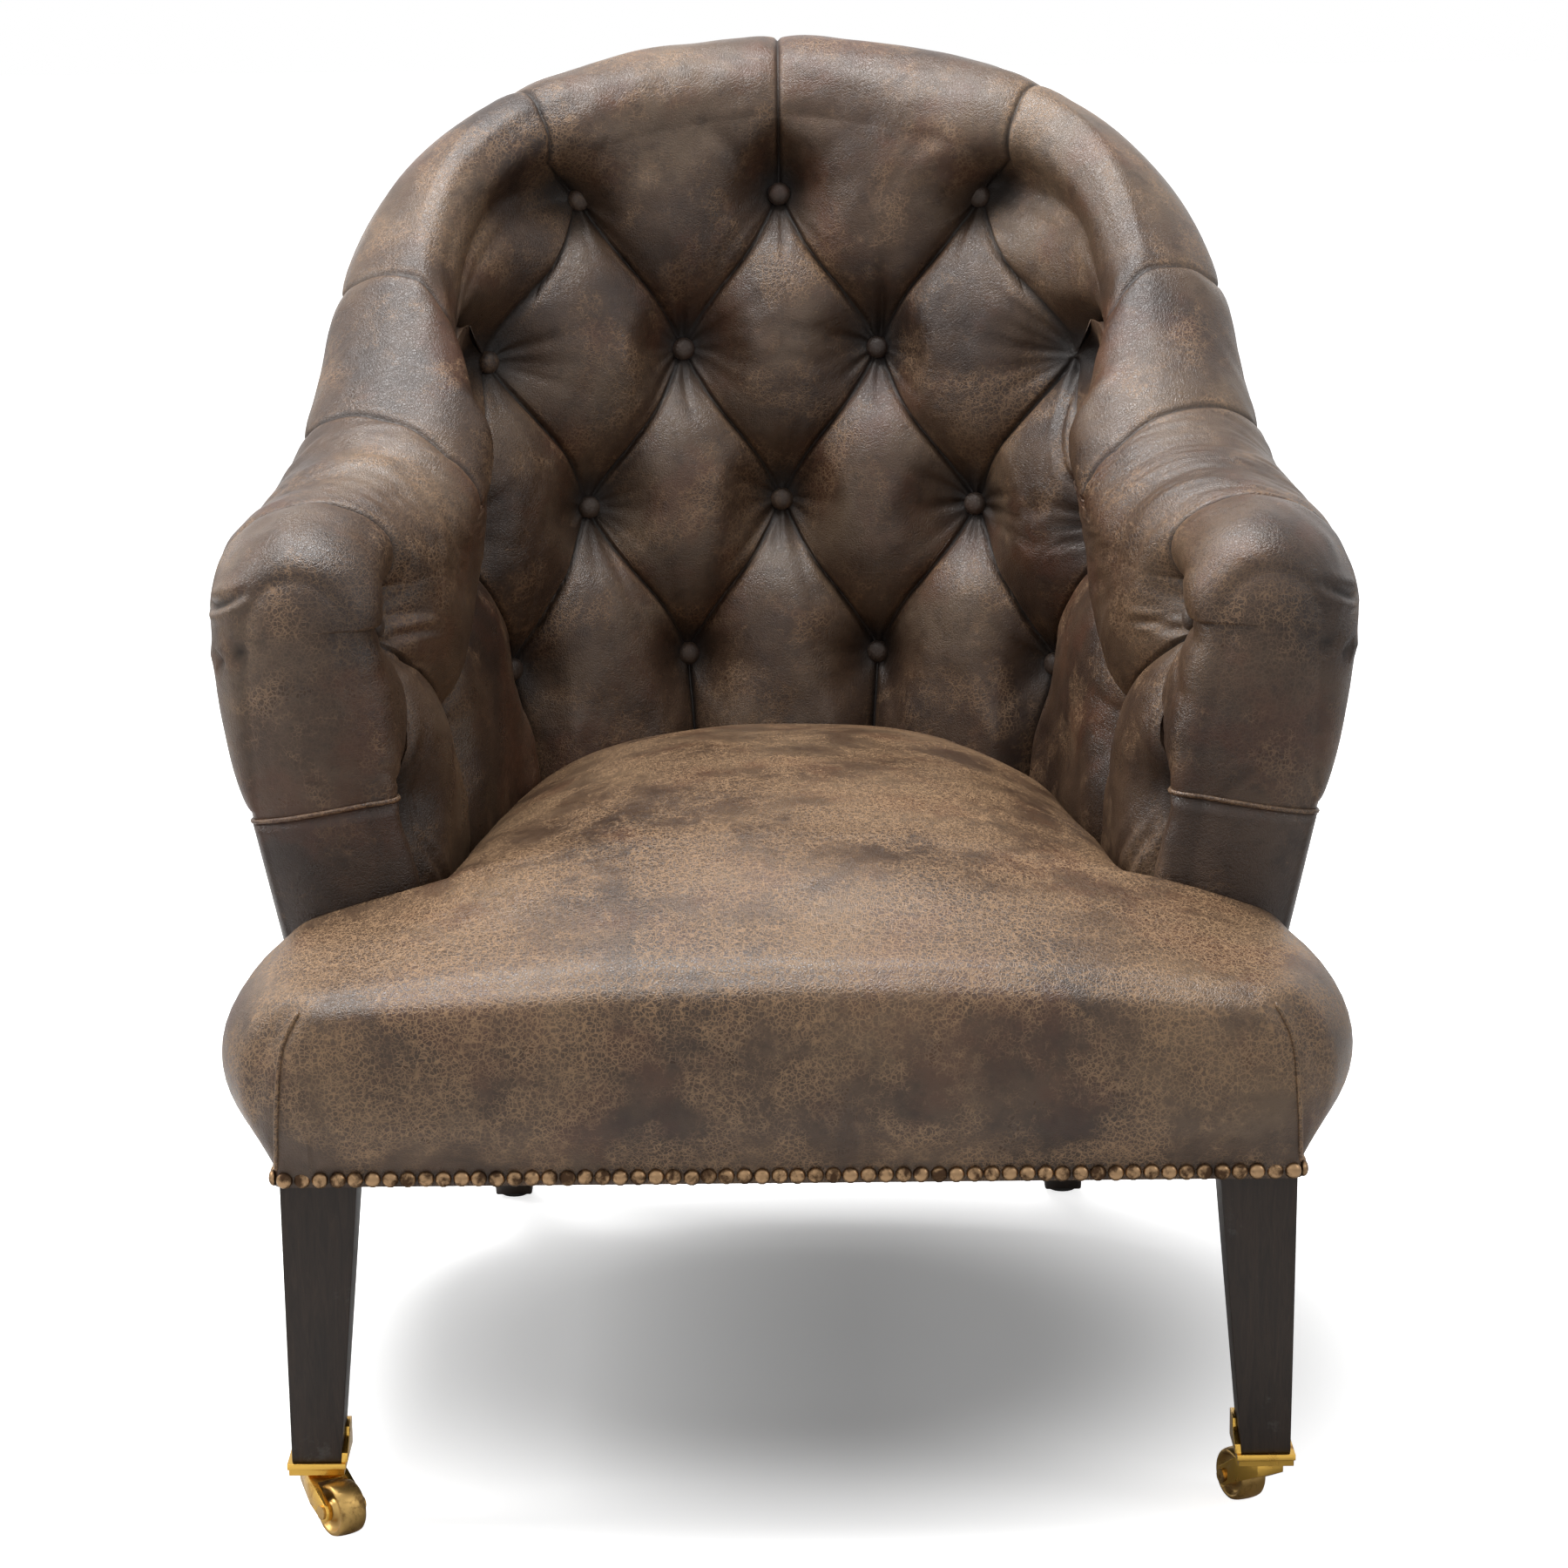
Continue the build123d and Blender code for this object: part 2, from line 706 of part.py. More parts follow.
def seat():
    webbing_top = rail_top + webbing_thickness * 2
    body = skin([seat_outline(i) for i in range(len(seat_place_shares))])
    side = band_half_width
    end = station(arm_front_place).origin.Y - arm_facing_thickness
    band_solid = block(-side, side, 0, end, rail_bottom + joint_gap, rail_bottom + band_height)
    foam = block(-foam_half_width, foam_half_width, foam_front, foam_front + foam_depth,
                 webbing_top + joint_gap, webbing_top + foam_thickness)
    gap = joint_gap
    foam_back = foam_front + foam_depth + gap
    room = block(-foam_half_width - gap, foam_half_width + gap, foam_front - gap, foam_back,
                 webbing_top, webbing_top + foam_thickness + gap)
    under = block(-frame_half_width - gap, frame_half_width + gap, frame_front - gap, frame_depth + overrun,
                  0, webbing_top + gap)
    tub_space = tub_envelope()
    pad = body + band_solid - under - room - tub_space
    return {"seat_pad": pad, "seat_foam": foam - tub_space}


def frame_plan(inset):
    # Outline of the seat frame from above, drawn in by an inset.
    radius, centre_y = frame_corner()
    half = frame_half_width - inset
    turn = radians(frame_back_turn)

    def on_corner(angle):
        run = radius - inset
        return (frame_half_width - radius + run * sin(angle), centre_y + run * cos(angle))

    front, side = (half, frame_front + inset), (half, centre_y)
    bend, end = on_corner((turn + radians(90)) / 2), on_corner(turn)
    back = (0, frame_depth - inset)

    def left(point):
        return (-point[0], point[1])

    edges = [
        Line(left(front), front),
        Line(front, side),
        ThreePointArc(side, bend, end),
        ThreePointArc(end, back, left(end)),
        ThreePointArc(left(end), left(bend), left(side)),
        Line(left(side), left(front)),
    ]
    return make_face(edges)


def webbing():
    # Straps on the rails, front to back and then side to side, ending inside the frame's outline.
    low = rail_top + webbing_thickness
    plan = extrude(frame_plan(webbing_inset), amount=frame_depth)
    long_straps, cross_straps = [], []
    for i in (-2, -1, 0, 1, 2):
        middle = i * webbing_pitch
        side = webbing_width / 2
        strap = block(middle - side, middle + side, 0, frame_depth, low, low + webbing_thickness)
        long_straps.append(strap & plan)
    for y in cross_webbing_places:
        strap = block(-frame_half_width, frame_half_width, y, y + webbing_width, rail_top, low)
        cross_straps.append(strap & plan)
    return {
        "webbing_long": Compound(children=long_straps),
        "webbing_cross": Compound(children=cross_straps),
    }


def dust_cover():
    # Thin cloth under the rails, cut round the legs.
    level = rail_bottom - cover_thickness - joint_gap
    cover = Pos(0, 0, level) * extrude(frame_plan(cover_inset), amount=cover_thickness)
    rear, glide = rear_leg()
    box = rear.bounding_box()
    room = block(box.min.X - cover_leg_gap, box.max.X + cover_leg_gap,
                 box.min.Y - cover_leg_gap, box.max.Y, 0, rail_top)
    leg_side = frame_half_width - front_leg_top - cover_leg_gap
    leg_back = frame_front + front_leg_top + cover_leg_gap
    front_room = block(leg_side, frame_half_width, 0, leg_back, 0, rail_top)
    rooms = [room, front_room, mirror(room, Plane.YZ), mirror(front_room, Plane.YZ)]
    return {"dust_cover": cover - rooms}


def nails():
    # One row of domed nails along the foot of the leather, round the front and along its sides.
    outline = RegularPolygon(nail_radius, nail_sides)
    nail = extrude(outline, amount=nail_height, taper=nail_taper)
    level = rail_bottom + nail_level
    solids = []
    for i in range(front_nails):
        x = (i - (front_nails - 1) / 2) * nail_pitch
        plane = Plane(origin=(x, 0, level), x_dir=(1, 0, 0), z_dir=(0, -1, 0))
        solids.append(plane * nail)
    for i in range(side_nails):
        y = (i + 0.5) * nail_pitch
        for side in (-1, 1):
            plane = Plane(origin=(side * band_half_width, y, level), x_dir=(0, 1, 0), z_dir=(side, 0, 0))
            solids.append(plane * nail)
    return {"nails": Compound(children=solids)}


def castor_socket():
    # Brass cup: a stepped plate under the leg, with a wall up its inner face and one up its back.
    x, y = front_leg_centre()
    half = front_leg_foot / 2 + socket_step
    wall = front_leg_foot / 2 + socket_wall
    low = front_leg_foot_bottom
    step = block(x - half, x + half, y - half, y + half, low - socket_plate, low)
    inner_half = half - socket_lip
    base = block(x - inner_half, x + inner_half, y - inner_half, y + inner_half,
                 low - socket_plate * 2, low - socket_plate)
    taper = (front_leg_top - front_leg_foot) / (rail_bottom - low) * socket_wall_height
    side_plane = Plane(origin=(x, y, 0), x_dir=(0, 1, 0), z_dir=(1, 0, 0))
    high = low + socket_wall_height
    side_wall = Polygon(
        (-wall + socket_wall, low),
        (wall + taper, low),
        (wall + taper, high),
        (wall - socket_wall, high),
        (-wall + socket_wall, low + socket_wall_low),
        align=None,
    )
    inner = side_plane * extrude(side_wall, amount=-wall - taper)
    back_plane = Plane(origin=(x, y, 0), x_dir=(-1, 0, 0), z_dir=(0, 1, 0))
    rear = back_plane * extrude(side_wall, amount=wall + taper)
    core = front_leg()
    middle = block(x - wall + socket_wall, x + half * 2, y - half * 2, y + wall - socket_wall, low, rail_top)
    cup = (inner + rear) - middle - core
    bore = Pos(x, y, 0) * upright(pivot_radius, rail_bottom)
    return step + base + cup - bore


def castor_pivot():
    low = front_leg_foot_bottom - socket_plate * 2
    pin_low = horn_top - hub_plate - joint_gap - pivot_head
    pin = Pos(0, 0, pin_low) * upright(pivot_radius, front_leg_foot_bottom + pivot_depth - pin_low)
    head = Pos(0, 0, pin_low) * disc(pivot_head_radius, pivot_head)
    return pin + head


def castor_horn():
    # Cast fork: a hub under the plate and two arms that taper to round ends at the axle.
    level = wheel_radius
    slope = fork_end_radius * cos(radians(45))
    side = [
        (-horn_back, horn_top),
        (horn_back, horn_top),
        (trail + slope, level + slope),
        (trail - slope, level - slope),
        (-horn_back, horn_top - horn_back_drop),
    ]
    width = fork_gap + fork_arm * 2
    across = Plane(origin=(0, 0, 0), x_dir=(1, 0, 0), z_dir=(0, -1, 0))
    cast = across * extrude(Polygon(*side, align=None), amount=width / 2, both=True)
    axle_line = Plane(origin=(trail, 0, level), x_dir=(1, 0, 0), z_dir=(0, -1, 0))
    cast += axle_line * extrude(RegularPolygon(fork_end_radius, disc_sides), amount=width / 2, both=True)
    neck = horn_back + joint_gap
    half = width / 2
    plan = Polygon(
        (-neck, -neck), (0, -neck - wheel_slot_gap), (neck + wheel_slot_gap, -half), (trail * 2, -half),
        (trail * 2, half), (neck + wheel_slot_gap, half), (0, neck + wheel_slot_gap), (-neck, neck),
        align=None,
    )
    cast = cast & extrude(plan, amount=horn_top + overrun)
    slot = RegularPolygon(wheel_radius + wheel_slot_gap, wheel_sides)
    cast -= axle_line * extrude(slot, amount=fork_gap / 2, both=True)
    cast -= axle_line * Cylinder(axle_radius, width + overrun)
    cast -= upright(pivot_radius + pivot_gap, horn_top + overrun)
    cast -= disc(pivot_head_radius + joint_gap * 2, horn_top - hub_plate)
    return cast


def castor_axle():
    width = fork_gap + fork_arm * 2
    axle_line = Plane(origin=(trail, 0, wheel_radius), x_dir=(1, 0, 0), z_dir=(0, -1, 0))
    pin = Cylinder(axle_radius, width + axle_head * 2)
    head = disc(axle_head_radius, axle_head)
    return axle_line * (pin + Pos(0, 0, width / 2) * head + Pos(0, 0, -width / 2 - axle_head) * head)


def castor_wheel():
    # Barrel wheel with dished sides and a bevelled tread, turned about its axle.
    half, hub = wheel_width / 2, wheel_hub_width / 2
    edge = wheel_radius - wheel_edge_drop
    dish = half - dish_depth
    points = [
        (axle_radius / 2, hub), (wheel_hub_radius, hub), (dish_inner, dish), (dish_outer, dish),
        (rim_radius, half), (edge, half), (wheel_radius, half - wheel_edge_drop * 3),
    ]
    points += [(out, -side) for out, side in reversed(points)]
    outlines = []
    for i in range(wheel_sides + 1):
        turn = 2 * pi * i / wheel_sides
        outlines.append([Vector(out * cos(turn), side, out * sin(turn)) for out, side in points])
    bore = Plane.XZ * Cylinder(axle_radius + axle_gap, wheel_width + overrun)
    return Pos(trail, 0, wheel_radius) * (skin(outlines, True) - bore)


def castors():
    x, y = front_leg_centre()
    socket = castor_socket()
    pieces = both_sides("castor_socket", socket)
    for side, turn, name in ((-1, castor_turns[0], "left"), (1, castor_turns[1], "right")):
        leg = Pos(side * x, y, 0)
        turned = leg * Rot(0, 0, turn)
        pieces["castor_pivot_" + name] = leg * castor_pivot()
        pieces["castor_horn_" + name] = turned * castor_horn()
        pieces["castor_axle_" + name] = turned * castor_axle()
        pieces["castor_wheel_" + name] = turned * castor_wheel()
    return pieces


def main():
    os.makedirs("parts", exist_ok=True)
    pieces = {}
    makers = (tub, buttons, seat_frame, outside_panels, legs, seat, webbing, dust_cover, nails, castors)
    for maker in makers:
        pieces.update(maker())
    pieces.update(both_sides("arm_facing", arm_facing()))
    seat_front = seat_depth * seat_place_shares[0]
    middle = (path_back + roll_reach - pleat_depth + seat_front) / 2
    for name, piece in pieces.items():
        export_step(Pos(0, -middle, 0) * piece, f"parts/{name}.step")
    print("middle of the depth", middle)


main()
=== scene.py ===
import bmesh
import bpy
import math
import numpy as np
from mathutils import Matrix, Vector


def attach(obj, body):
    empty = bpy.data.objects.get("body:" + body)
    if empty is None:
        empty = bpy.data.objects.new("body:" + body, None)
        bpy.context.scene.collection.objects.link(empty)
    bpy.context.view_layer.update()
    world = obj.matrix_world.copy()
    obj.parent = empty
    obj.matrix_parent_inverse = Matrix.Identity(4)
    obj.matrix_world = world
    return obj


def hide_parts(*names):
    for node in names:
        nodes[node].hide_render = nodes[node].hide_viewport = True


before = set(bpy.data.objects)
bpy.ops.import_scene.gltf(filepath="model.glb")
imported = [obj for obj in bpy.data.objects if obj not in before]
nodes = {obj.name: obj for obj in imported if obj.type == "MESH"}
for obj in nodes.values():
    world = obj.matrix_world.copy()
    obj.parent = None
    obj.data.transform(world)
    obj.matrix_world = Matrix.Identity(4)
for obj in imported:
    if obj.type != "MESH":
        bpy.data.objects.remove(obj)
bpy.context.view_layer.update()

milli = 0.001  # lengths below are in millimetres, in the frame that the solids were drawn in
drawnMiddle = 365.5  # the seat front was drawn at y = 0, and the frame is centred on the depth
sides = ((-1, "left"), (1, "right"))
print("frame loaded:", len(nodes), "solids")


def toFrame(points):
    pts = np.asarray(points, float).reshape(-1, 3).copy()
    pts[:, 1] -= drawnMiddle
    return pts * milli


def turnFacesOut(piece):
    work = bmesh.new()
    work.from_mesh(piece.data)
    bmesh.ops.recalc_face_normals(work, faces=work.faces)
    work.to_mesh(piece.data)
    work.free()


def weld(piece, gap):
    work = bmesh.new()
    work.from_mesh(piece.data)
    bmesh.ops.remove_doubles(work, verts=work.verts, dist=gap * milli)
    bmesh.ops.recalc_face_normals(work, faces=work.faces)
    work.to_mesh(piece.data)
    work.free()


def meshPiece(name, points, faces, material, body="chair", smooth=True):
    mesh = bpy.data.meshes.new(name)
    mesh.from_pydata(toFrame(points).tolist(), [], [tuple(int(i) for i in f) for f in faces])
    mesh.materials.append(material)
    mesh.polygons.foreach_set("use_smooth", [smooth] * len(mesh.polygons))
    piece = bpy.data.objects.new(name, mesh)
    bpy.context.scene.collection.objects.link(piece)
    turnFacesOut(piece)
    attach(piece, body)
    return piece


def gridFaces(rows, cols, closeAcross=False, closeAlong=False):
    r = np.arange(rows if closeAlong else rows - 1)
    c = np.arange(cols if closeAcross else cols - 1)
    rr, cc = np.meshgrid(r, c, indexing="ij")
    r2, c2 = (rr + 1) % rows, (cc + 1) % cols
    quads = np.stack([rr * cols + cc, rr * cols + c2, r2 * cols + c2, r2 * cols + cc], -1)
    return quads.reshape(-1, 4).tolist()


def floatAttribute(piece, name, values):
    layer = piece.data.attributes.new(name, "FLOAT", "POINT")
    layer.data.foreach_set("value", np.asarray(values, np.float32).ravel())


def smoothCurve(table, at):
    # Values of a table at whole and part steps, on a smooth curve through its entries.
    table = np.asarray(table, float)
    at = np.minimum(np.asarray(at, float), len(table) - 1.001)
    first = np.floor(at).astype(int)
    t = at - first
    a, b, c, d = [table[np.clip(np.abs(first + k), 0, len(table) - 1)] for k in (-1, 0, 1, 2)]
    m, n = (c - a) / 2, (d - b) / 2
    return b + t * (m + t * (3 * (c - b) - 2 * m - n + t * (2 * (b - c) + m + n)))


def bell(distance, width):
    # 1 at no distance, fading to nothing over a few widths.
    return np.exp(-(distance / width) ** 2)


def climb(value, start, length):
    # 0 up to the start, and 1 from a length beyond it.
    return np.clip((value - start) / length, 0, 1)


def tubeMesh(path, radius, turns=8):
    # Round bead along a row of points, drawn in at both ends.
    path = np.asarray(path, float)
    count = len(path)
    along = np.gradient(path, axis=0)
    along /= np.linalg.norm(along, axis=1)[:, None] + 1e-9
    up = np.tile(np.array([0.0, 0.0, 1.0]), (count, 1))
    if np.abs(along[:, 2]).mean() > 0.7:
        up[:] = (0.0, 1.0, 0.0)
    first = np.cross(along, up)
    first /= np.linalg.norm(first, axis=1)[:, None] + 1e-9
    second = np.cross(first, along)
    angles = np.arange(turns) / turns * 2 * np.pi
    width = np.full(count, float(radius))
    width[0] = width[-1] = radius * 0.3
    rings = path[:, None] + width[:, None, None] * (np.cos(angles)[None, :, None] * first[:, None]
                                                    + np.sin(angles)[None, :, None] * second[:, None])
    faces = gridFaces(count, turns, closeAcross=True)
    faces += endCaps(count, turns)
    return rings.reshape(-1, 3), faces


def endCaps(rows, cols):
    # The two end faces of a tube of rings.
    return [tuple(range(cols)), tuple(range((rows - 1) * cols, rows * cols))]


def joinParts(parts):
    points, faces, start = [], [], 0
    for pts, fcs in parts:
        pts = np.asarray(pts, float).reshape(-1, 3)
        points.append(pts)
        faces += [tuple(int(i) + start for i in f) for f in fcs]
        start += len(pts)
    return np.concatenate(points), faces


def domes(spots, profile, radius, height, turns):
    # Turned heads at places, each with its outward direction and a direction across it.
    parts = []
    angles = np.arange(turns) / turns * 2 * np.pi
    for middle, outward, sideways in spots:
        upward = np.cross(outward, sideways)
        points = []
        for wide, high in profile:
            points += [middle + outward * (high * height) + sideways * (radius * wide * math.cos(a))
                       + upward * (radius * wide * math.sin(a)) for a in angles]
        faces = gridFaces(len(profile), turns, closeAcross=True)
        faces += endCaps(len(profile), turns)
        parts.append((points, faces))
    return joinParts(parts)


def newMaterial(name):
    material = bpy.data.materials.new(name)
    material.use_nodes = True
    tree = material.node_tree
    return material, tree, tree.nodes["Principled BSDF"]


def addNode(tree, kind, **values):
    node = tree.nodes.new(kind)
    for key, value in values.items():
        if key in node.inputs:
            node.inputs[key].default_value = value
        else:
            setattr(node, key, value)
    return node


def linear(r, g, b):
    # A colour as it is seen on the screen, from 0 to 255, made linear for the nodes.
    def one(c):
        c /= 255
        return c / 12.92 if c <= 0.04045 else ((c + 0.055) / 1.055) ** 2.4
    return (one(r), one(g), one(b), 1)


def paler(colour, share=0.25):
    return tuple(c + (1 - c) * share for c in colour[:3]) + (1,)


def plug(tree, socket, value):
    if isinstance(value, bpy.types.NodeSocket):
        tree.links.new(value, socket)
    else:
        socket.default_value = value


def colourRamp(tree, source, stops):
    ramp = tree.nodes.new("ShaderNodeValToRGB")
    ramp.color_ramp.elements[0].position, ramp.color_ramp.elements[0].color = stops[0]
    ramp.color_ramp.elements[1].position, ramp.color_ramp.elements[1].color = stops[-1]
    for position, colour in stops[1:-1]:
        ramp.color_ramp.elements.new(position).color = colour
    tree.links.new(source, ramp.inputs["Fac"])
    return ramp.outputs["Color"]


def mixColours(tree, amount, first, second):
    node = tree.nodes.new("ShaderNodeMix")
    node.data_type = "RGBA"
    plug(tree, node.inputs["Factor"], amount)
    plug(tree, node.inputs[6], first)
    plug(tree, node.inputs[7], second)
    return node.outputs[2]


def calc(tree, operation, *values, clamp=False):
    node = tree.nodes.new("ShaderNodeMath")
    node.operation, node.use_clamp = operation, clamp
    for socket, value in zip(node.inputs, values):
        plug(tree, socket, value)
    return node.outputs[0]


def fade(tree, source, low, high):
    # 0 at low, 1 at high and smooth between.
    node = tree.nodes.new("ShaderNodeMapRange")
    node.interpolation_type = "SMOOTHSTEP"
    node.inputs["From Min"].default_value, node.inputs["From Max"].default_value = low, high
    tree.links.new(source, node.inputs["Value"])
    return node.outputs["Result"]


def noise(tree, where, scale, detail=4.0, rough=0.55, distortion=0.0):
    node = addNode(tree, "ShaderNodeTexNoise", Scale=scale, Detail=detail, Roughness=rough, Distortion=distortion)
    tree.links.new(where, node.inputs["Vector"])
    return node.outputs["Fac"]


def objectPlace(tree):
    return tree.nodes.new("ShaderNodeTexCoord").outputs["Object"]


def stretched(tree, where, scale, turn=(0, 0, 0)):
    mapping = tree.nodes.new("ShaderNodeMapping")
    mapping.inputs["Scale"].default_value, mapping.inputs["Rotation"].default_value = scale, turn
    tree.links.new(where, mapping.inputs["Vector"])
    return mapping.outputs[0]


def addBump(tree, shader, height, strength, distance):
    node = addNode(tree, "ShaderNodeBump", Strength=strength, Distance=distance)
    tree.links.new(height, node.inputs["Height"])
    tree.links.new(node.outputs["Normal"], shader.inputs["Normal"])


# Oiled brown hide with a fine cracked grain, rubbed lighter where it is handled, with painted shade in its creases
# and button sockets and painted highlights beside its creases and along its edges.
leatherLook = {
    "dark": linear(50, 37, 30),
    "middle": linear(76, 58, 45),
    "greyed": linear(96, 79, 64),
    # tan colour of both worn hide and painted highlights
    "rubbed": linear(150, 120, 92),
    "red": linear(90, 54, 38),
    # colour of the painted shade in creases and button sockets
    "fold": linear(18, 13, 11),
    "crackScale": 330,
    "grainScale": 620,
    "roughness": 0.27,
    "wear": 0.4,  # how much of the hide shows tan cracks, from 0 to 1
}


def makeLeather(name, **changes):
    look = dict(leatherLook, **changes)
    wear = look["wear"]
    material, tree, shader = newMaterial(name)
    where = objectPlace(tree)
    paintedShade = addNode(tree, "ShaderNodeAttribute", attribute_name="paintedShade").outputs["Fac"]
    rub = addNode(tree, "ShaderNodeAttribute", attribute_name="rub").outputs["Fac"]
    clouds = noise(tree, where, 8, 5, 0.62)
    patches = noise(tree, where, 21, 6, 0.64, 0.4)
    speckle = noise(tree, where, 300, 4, 0.7)
    base = colourRamp(tree, clouds, [(0.36, look["dark"]), (0.5, look["middle"]), (0.64, look["greyed"])])
    warm = fade(tree, noise(tree, where, 12, 5, 0.64), 0.5, 0.66)
    base = mixColours(tree, calc(tree, "MULTIPLY", warm, 0.4), base, look["red"])
    base = mixColours(tree, calc(tree, "MULTIPLY", fade(tree, patches, 0.5, 0.7), 0.4), base, look["dark"])
    mottle = fade(tree, noise(tree, where, 85, 5, 0.68), 0.5, 0.66)
    base = mixColours(tree, calc(tree, "MULTIPLY", mottle, 0.4), base, look["dark"])

    # cracks: two sizes of cells, their edges bent by a small wobble
    wobble = addNode(tree, "ShaderNodeTexNoise", Scale=95, Detail=3)
    tree.links.new(where, wobble.inputs["Vector"])
    bent = addNode(tree, "ShaderNodeVectorMath", operation="MULTIPLY_ADD")
    tree.links.new(wobble.outputs["Color"], bent.inputs[0])
    bent.inputs[1].default_value = (0.0035, 0.0035, 0.0035)
    tree.links.new(where, bent.inputs[2])
    fine = addNode(tree, "ShaderNodeTexVoronoi", feature="DISTANCE_TO_EDGE", Scale=look["crackScale"])
    coarse = addNode(tree, "ShaderNodeTexVoronoi", feature="DISTANCE_TO_EDGE", Scale=look["crackScale"] * 0.5)
    for cells in (fine, coarse):
        tree.links.new(bent.outputs[0], cells.inputs["Vector"])
    cracks = calc(tree, "MAXIMUM", fade(tree, fine.outputs["Distance"], 0.13, 0.0),
                  fade(tree, coarse.outputs["Distance"], 0.06, 0.0))
    worn = fade(tree, noise(tree, where, 15, 7, 0.72, 0.3), 0.56 - 0.18 * wear, 0.66 - 0.1 * wear)
    # lighter where worn, and where the attribute paints highlights beside creases and along edges
    worn = calc(tree, "MULTIPLY", calc(tree, "ADD", worn, rub), 0.3 + 0.7 * wear, clamp=True)
    shown = calc(tree, "MULTIPLY", calc(tree, "MULTIPLY", cracks, worn), fade(tree, speckle, 0.28, 0.5))
    colour = mixColours(tree, calc(tree, "MULTIPLY", shown, 0.9), base, look["rubbed"])
    haze = calc(tree, "MULTIPLY", worn, fade(tree, speckle, 0.42, 0.72))
    colour = mixColours(tree, calc(tree, "MULTIPLY", haze, 0.32), colour, look["rubbed"])

    scratch = noise(tree, stretched(tree, where, (3, 26, 26), (0.3, 0.5, 0.4)), 9, 2, 0.5, 1.2)
    lines = calc(tree, "MULTIPLY", fade(tree, scratch, 0.74, 0.76), 0.3)
    colour = mixColours(tree, lines, colour, look["rubbed"])
    # painted shade: creases and sockets darkened towards the fold colour
    colour = mixColours(tree, calc(tree, "MULTIPLY", paintedShade, 0.92, clamp=True), colour, look["fold"])
    tree.links.new(colour, shader.inputs["Base Color"])

    gloss = calc(tree, "MULTIPLY_ADD", patches, 0.24, look["roughness"] - 0.09)
    gloss = calc(tree, "ADD", gloss, calc(tree, "MULTIPLY", shown, 0.2))
    gloss = calc(tree, "ADD", gloss, calc(tree, "MULTIPLY", paintedShade, 0.3), clamp=True)
    tree.links.new(gloss, shader.inputs["Roughness"])
    shader.inputs["Specular IOR Level"].default_value = 0.36
    shader.inputs["Coat Weight"].default_value = 0.05
    shader.inputs["Coat Roughness"].default_value = 0.25

    grain = addNode(tree, "ShaderNodeTexVoronoi", feature="DISTANCE_TO_EDGE", Scale=look["grainScale"])
    tree.links.new(bent.outputs[0], grain.inputs["Vector"])
    height = calc(tree, "MULTIPLY", fade(tree, grain.outputs["Distance"], 0.0, 0.16), 0.5)
    height = calc(tree, "ADD", height, calc(tree, "MULTIPLY", cracks, -0.6))
    height = calc(tree, "ADD", height, calc(tree, "MULTIPLY", noise(tree, where, 55, 5, 0.62), 1.6))
    addBump(tree, shader, height, 0.3, 0.0009)
    return material


tuftedLeather = makeLeather("tuftedLeather")
seatLeather = makeLeather("seatLeather", wear=0.95, dark=linear(56, 41, 31), middle=linear(83, 64, 49),
                          greyed=linear(104, 84, 65), rubbed=linear(152, 121, 90))
panelLeather = makeLeather("panelLeather", wear=0.15, dark=linear(44, 33, 27), middle=linear(66, 51, 42),
                           greyed=linear(84, 68, 57))
buttonLeather = makeLeather("buttonLeather", wear=0.25, dark=linear(52, 41, 36), middle=linear(72, 60, 52),
                            greyed=linear(88, 76, 67), roughness=0.4)
print("leather made")


# Aged metals, stained wood and the plain cloths under the chair.
def makeMetal(name, light, dark, roughness, tarnish, scale=60, metallic=1.0):
    material, tree, shader = newMaterial(name)
    where = objectPlace(tree)
    tone = addNode(tree, "ShaderNodeAttribute", attribute_name="tone").outputs["Fac"]
    clouds = calc(tree, "ADD", noise(tree, where, scale, 6, 0.62, 0.3), calc(tree, "MULTIPLY", tone, 0.07))
    stain = fade(tree, clouds, 0.68 - tarnish * 0.3, 0.86 - tarnish * 0.3)
    tree.links.new(mixColours(tree, stain, light, dark), shader.inputs["Base Color"])
    shader.inputs["Metallic"].default_value = metallic
    rough = calc(tree, "MULTIPLY_ADD", stain, 0.25, roughness)
    rough = calc(tree, "ADD", rough, calc(tree, "MULTIPLY", noise(tree, where, 900, 2, 0.5), 0.08))
    tree.links.new(rough, shader.inputs["Roughness"])
    addBump(tree, shader, noise(tree, where, 420, 4, 0.6), 0.12, 0.0003)
    return material


def makeWood(name, light, dark, roughness, along=(24, 24, 2.4)):
    material, tree, shader = newMaterial(name)
    where = objectPlace(tree)
    grain = noise(tree, stretched(tree, where, along), 9, 7, 0.66, 1.1)
    pores = noise(tree, stretched(tree, where, tuple(a * 8 for a in along)), 5, 3, 0.6)
    colour = colourRamp(tree, grain, [(0.3, dark), (0.7, light)])
    colour = mixColours(tree, calc(tree, "MULTIPLY", fade(tree, pores, 0.56, 0.68), 0.45), colour, dark)
    worn = fade(tree, noise(tree, where, 28, 6, 0.7), 0.6, 0.74)
    colour = mixColours(tree, calc(tree, "MULTIPLY", worn, 0.14), colour, paler(light))
    tree.links.new(colour, shader.inputs["Base Color"])
    tree.links.new(calc(tree, "MULTIPLY_ADD", grain, 0.2, roughness - 0.1), shader.inputs["Roughness"])
    shader.inputs["Specular IOR Level"].default_value = 0.3
    height = calc(tree, "ADD", calc(tree, "MULTIPLY", pores, 0.6), calc(tree, "MULTIPLY", grain, 0.4))
    addBump(tree, shader, height, 0.18, 0.0004)
    return material


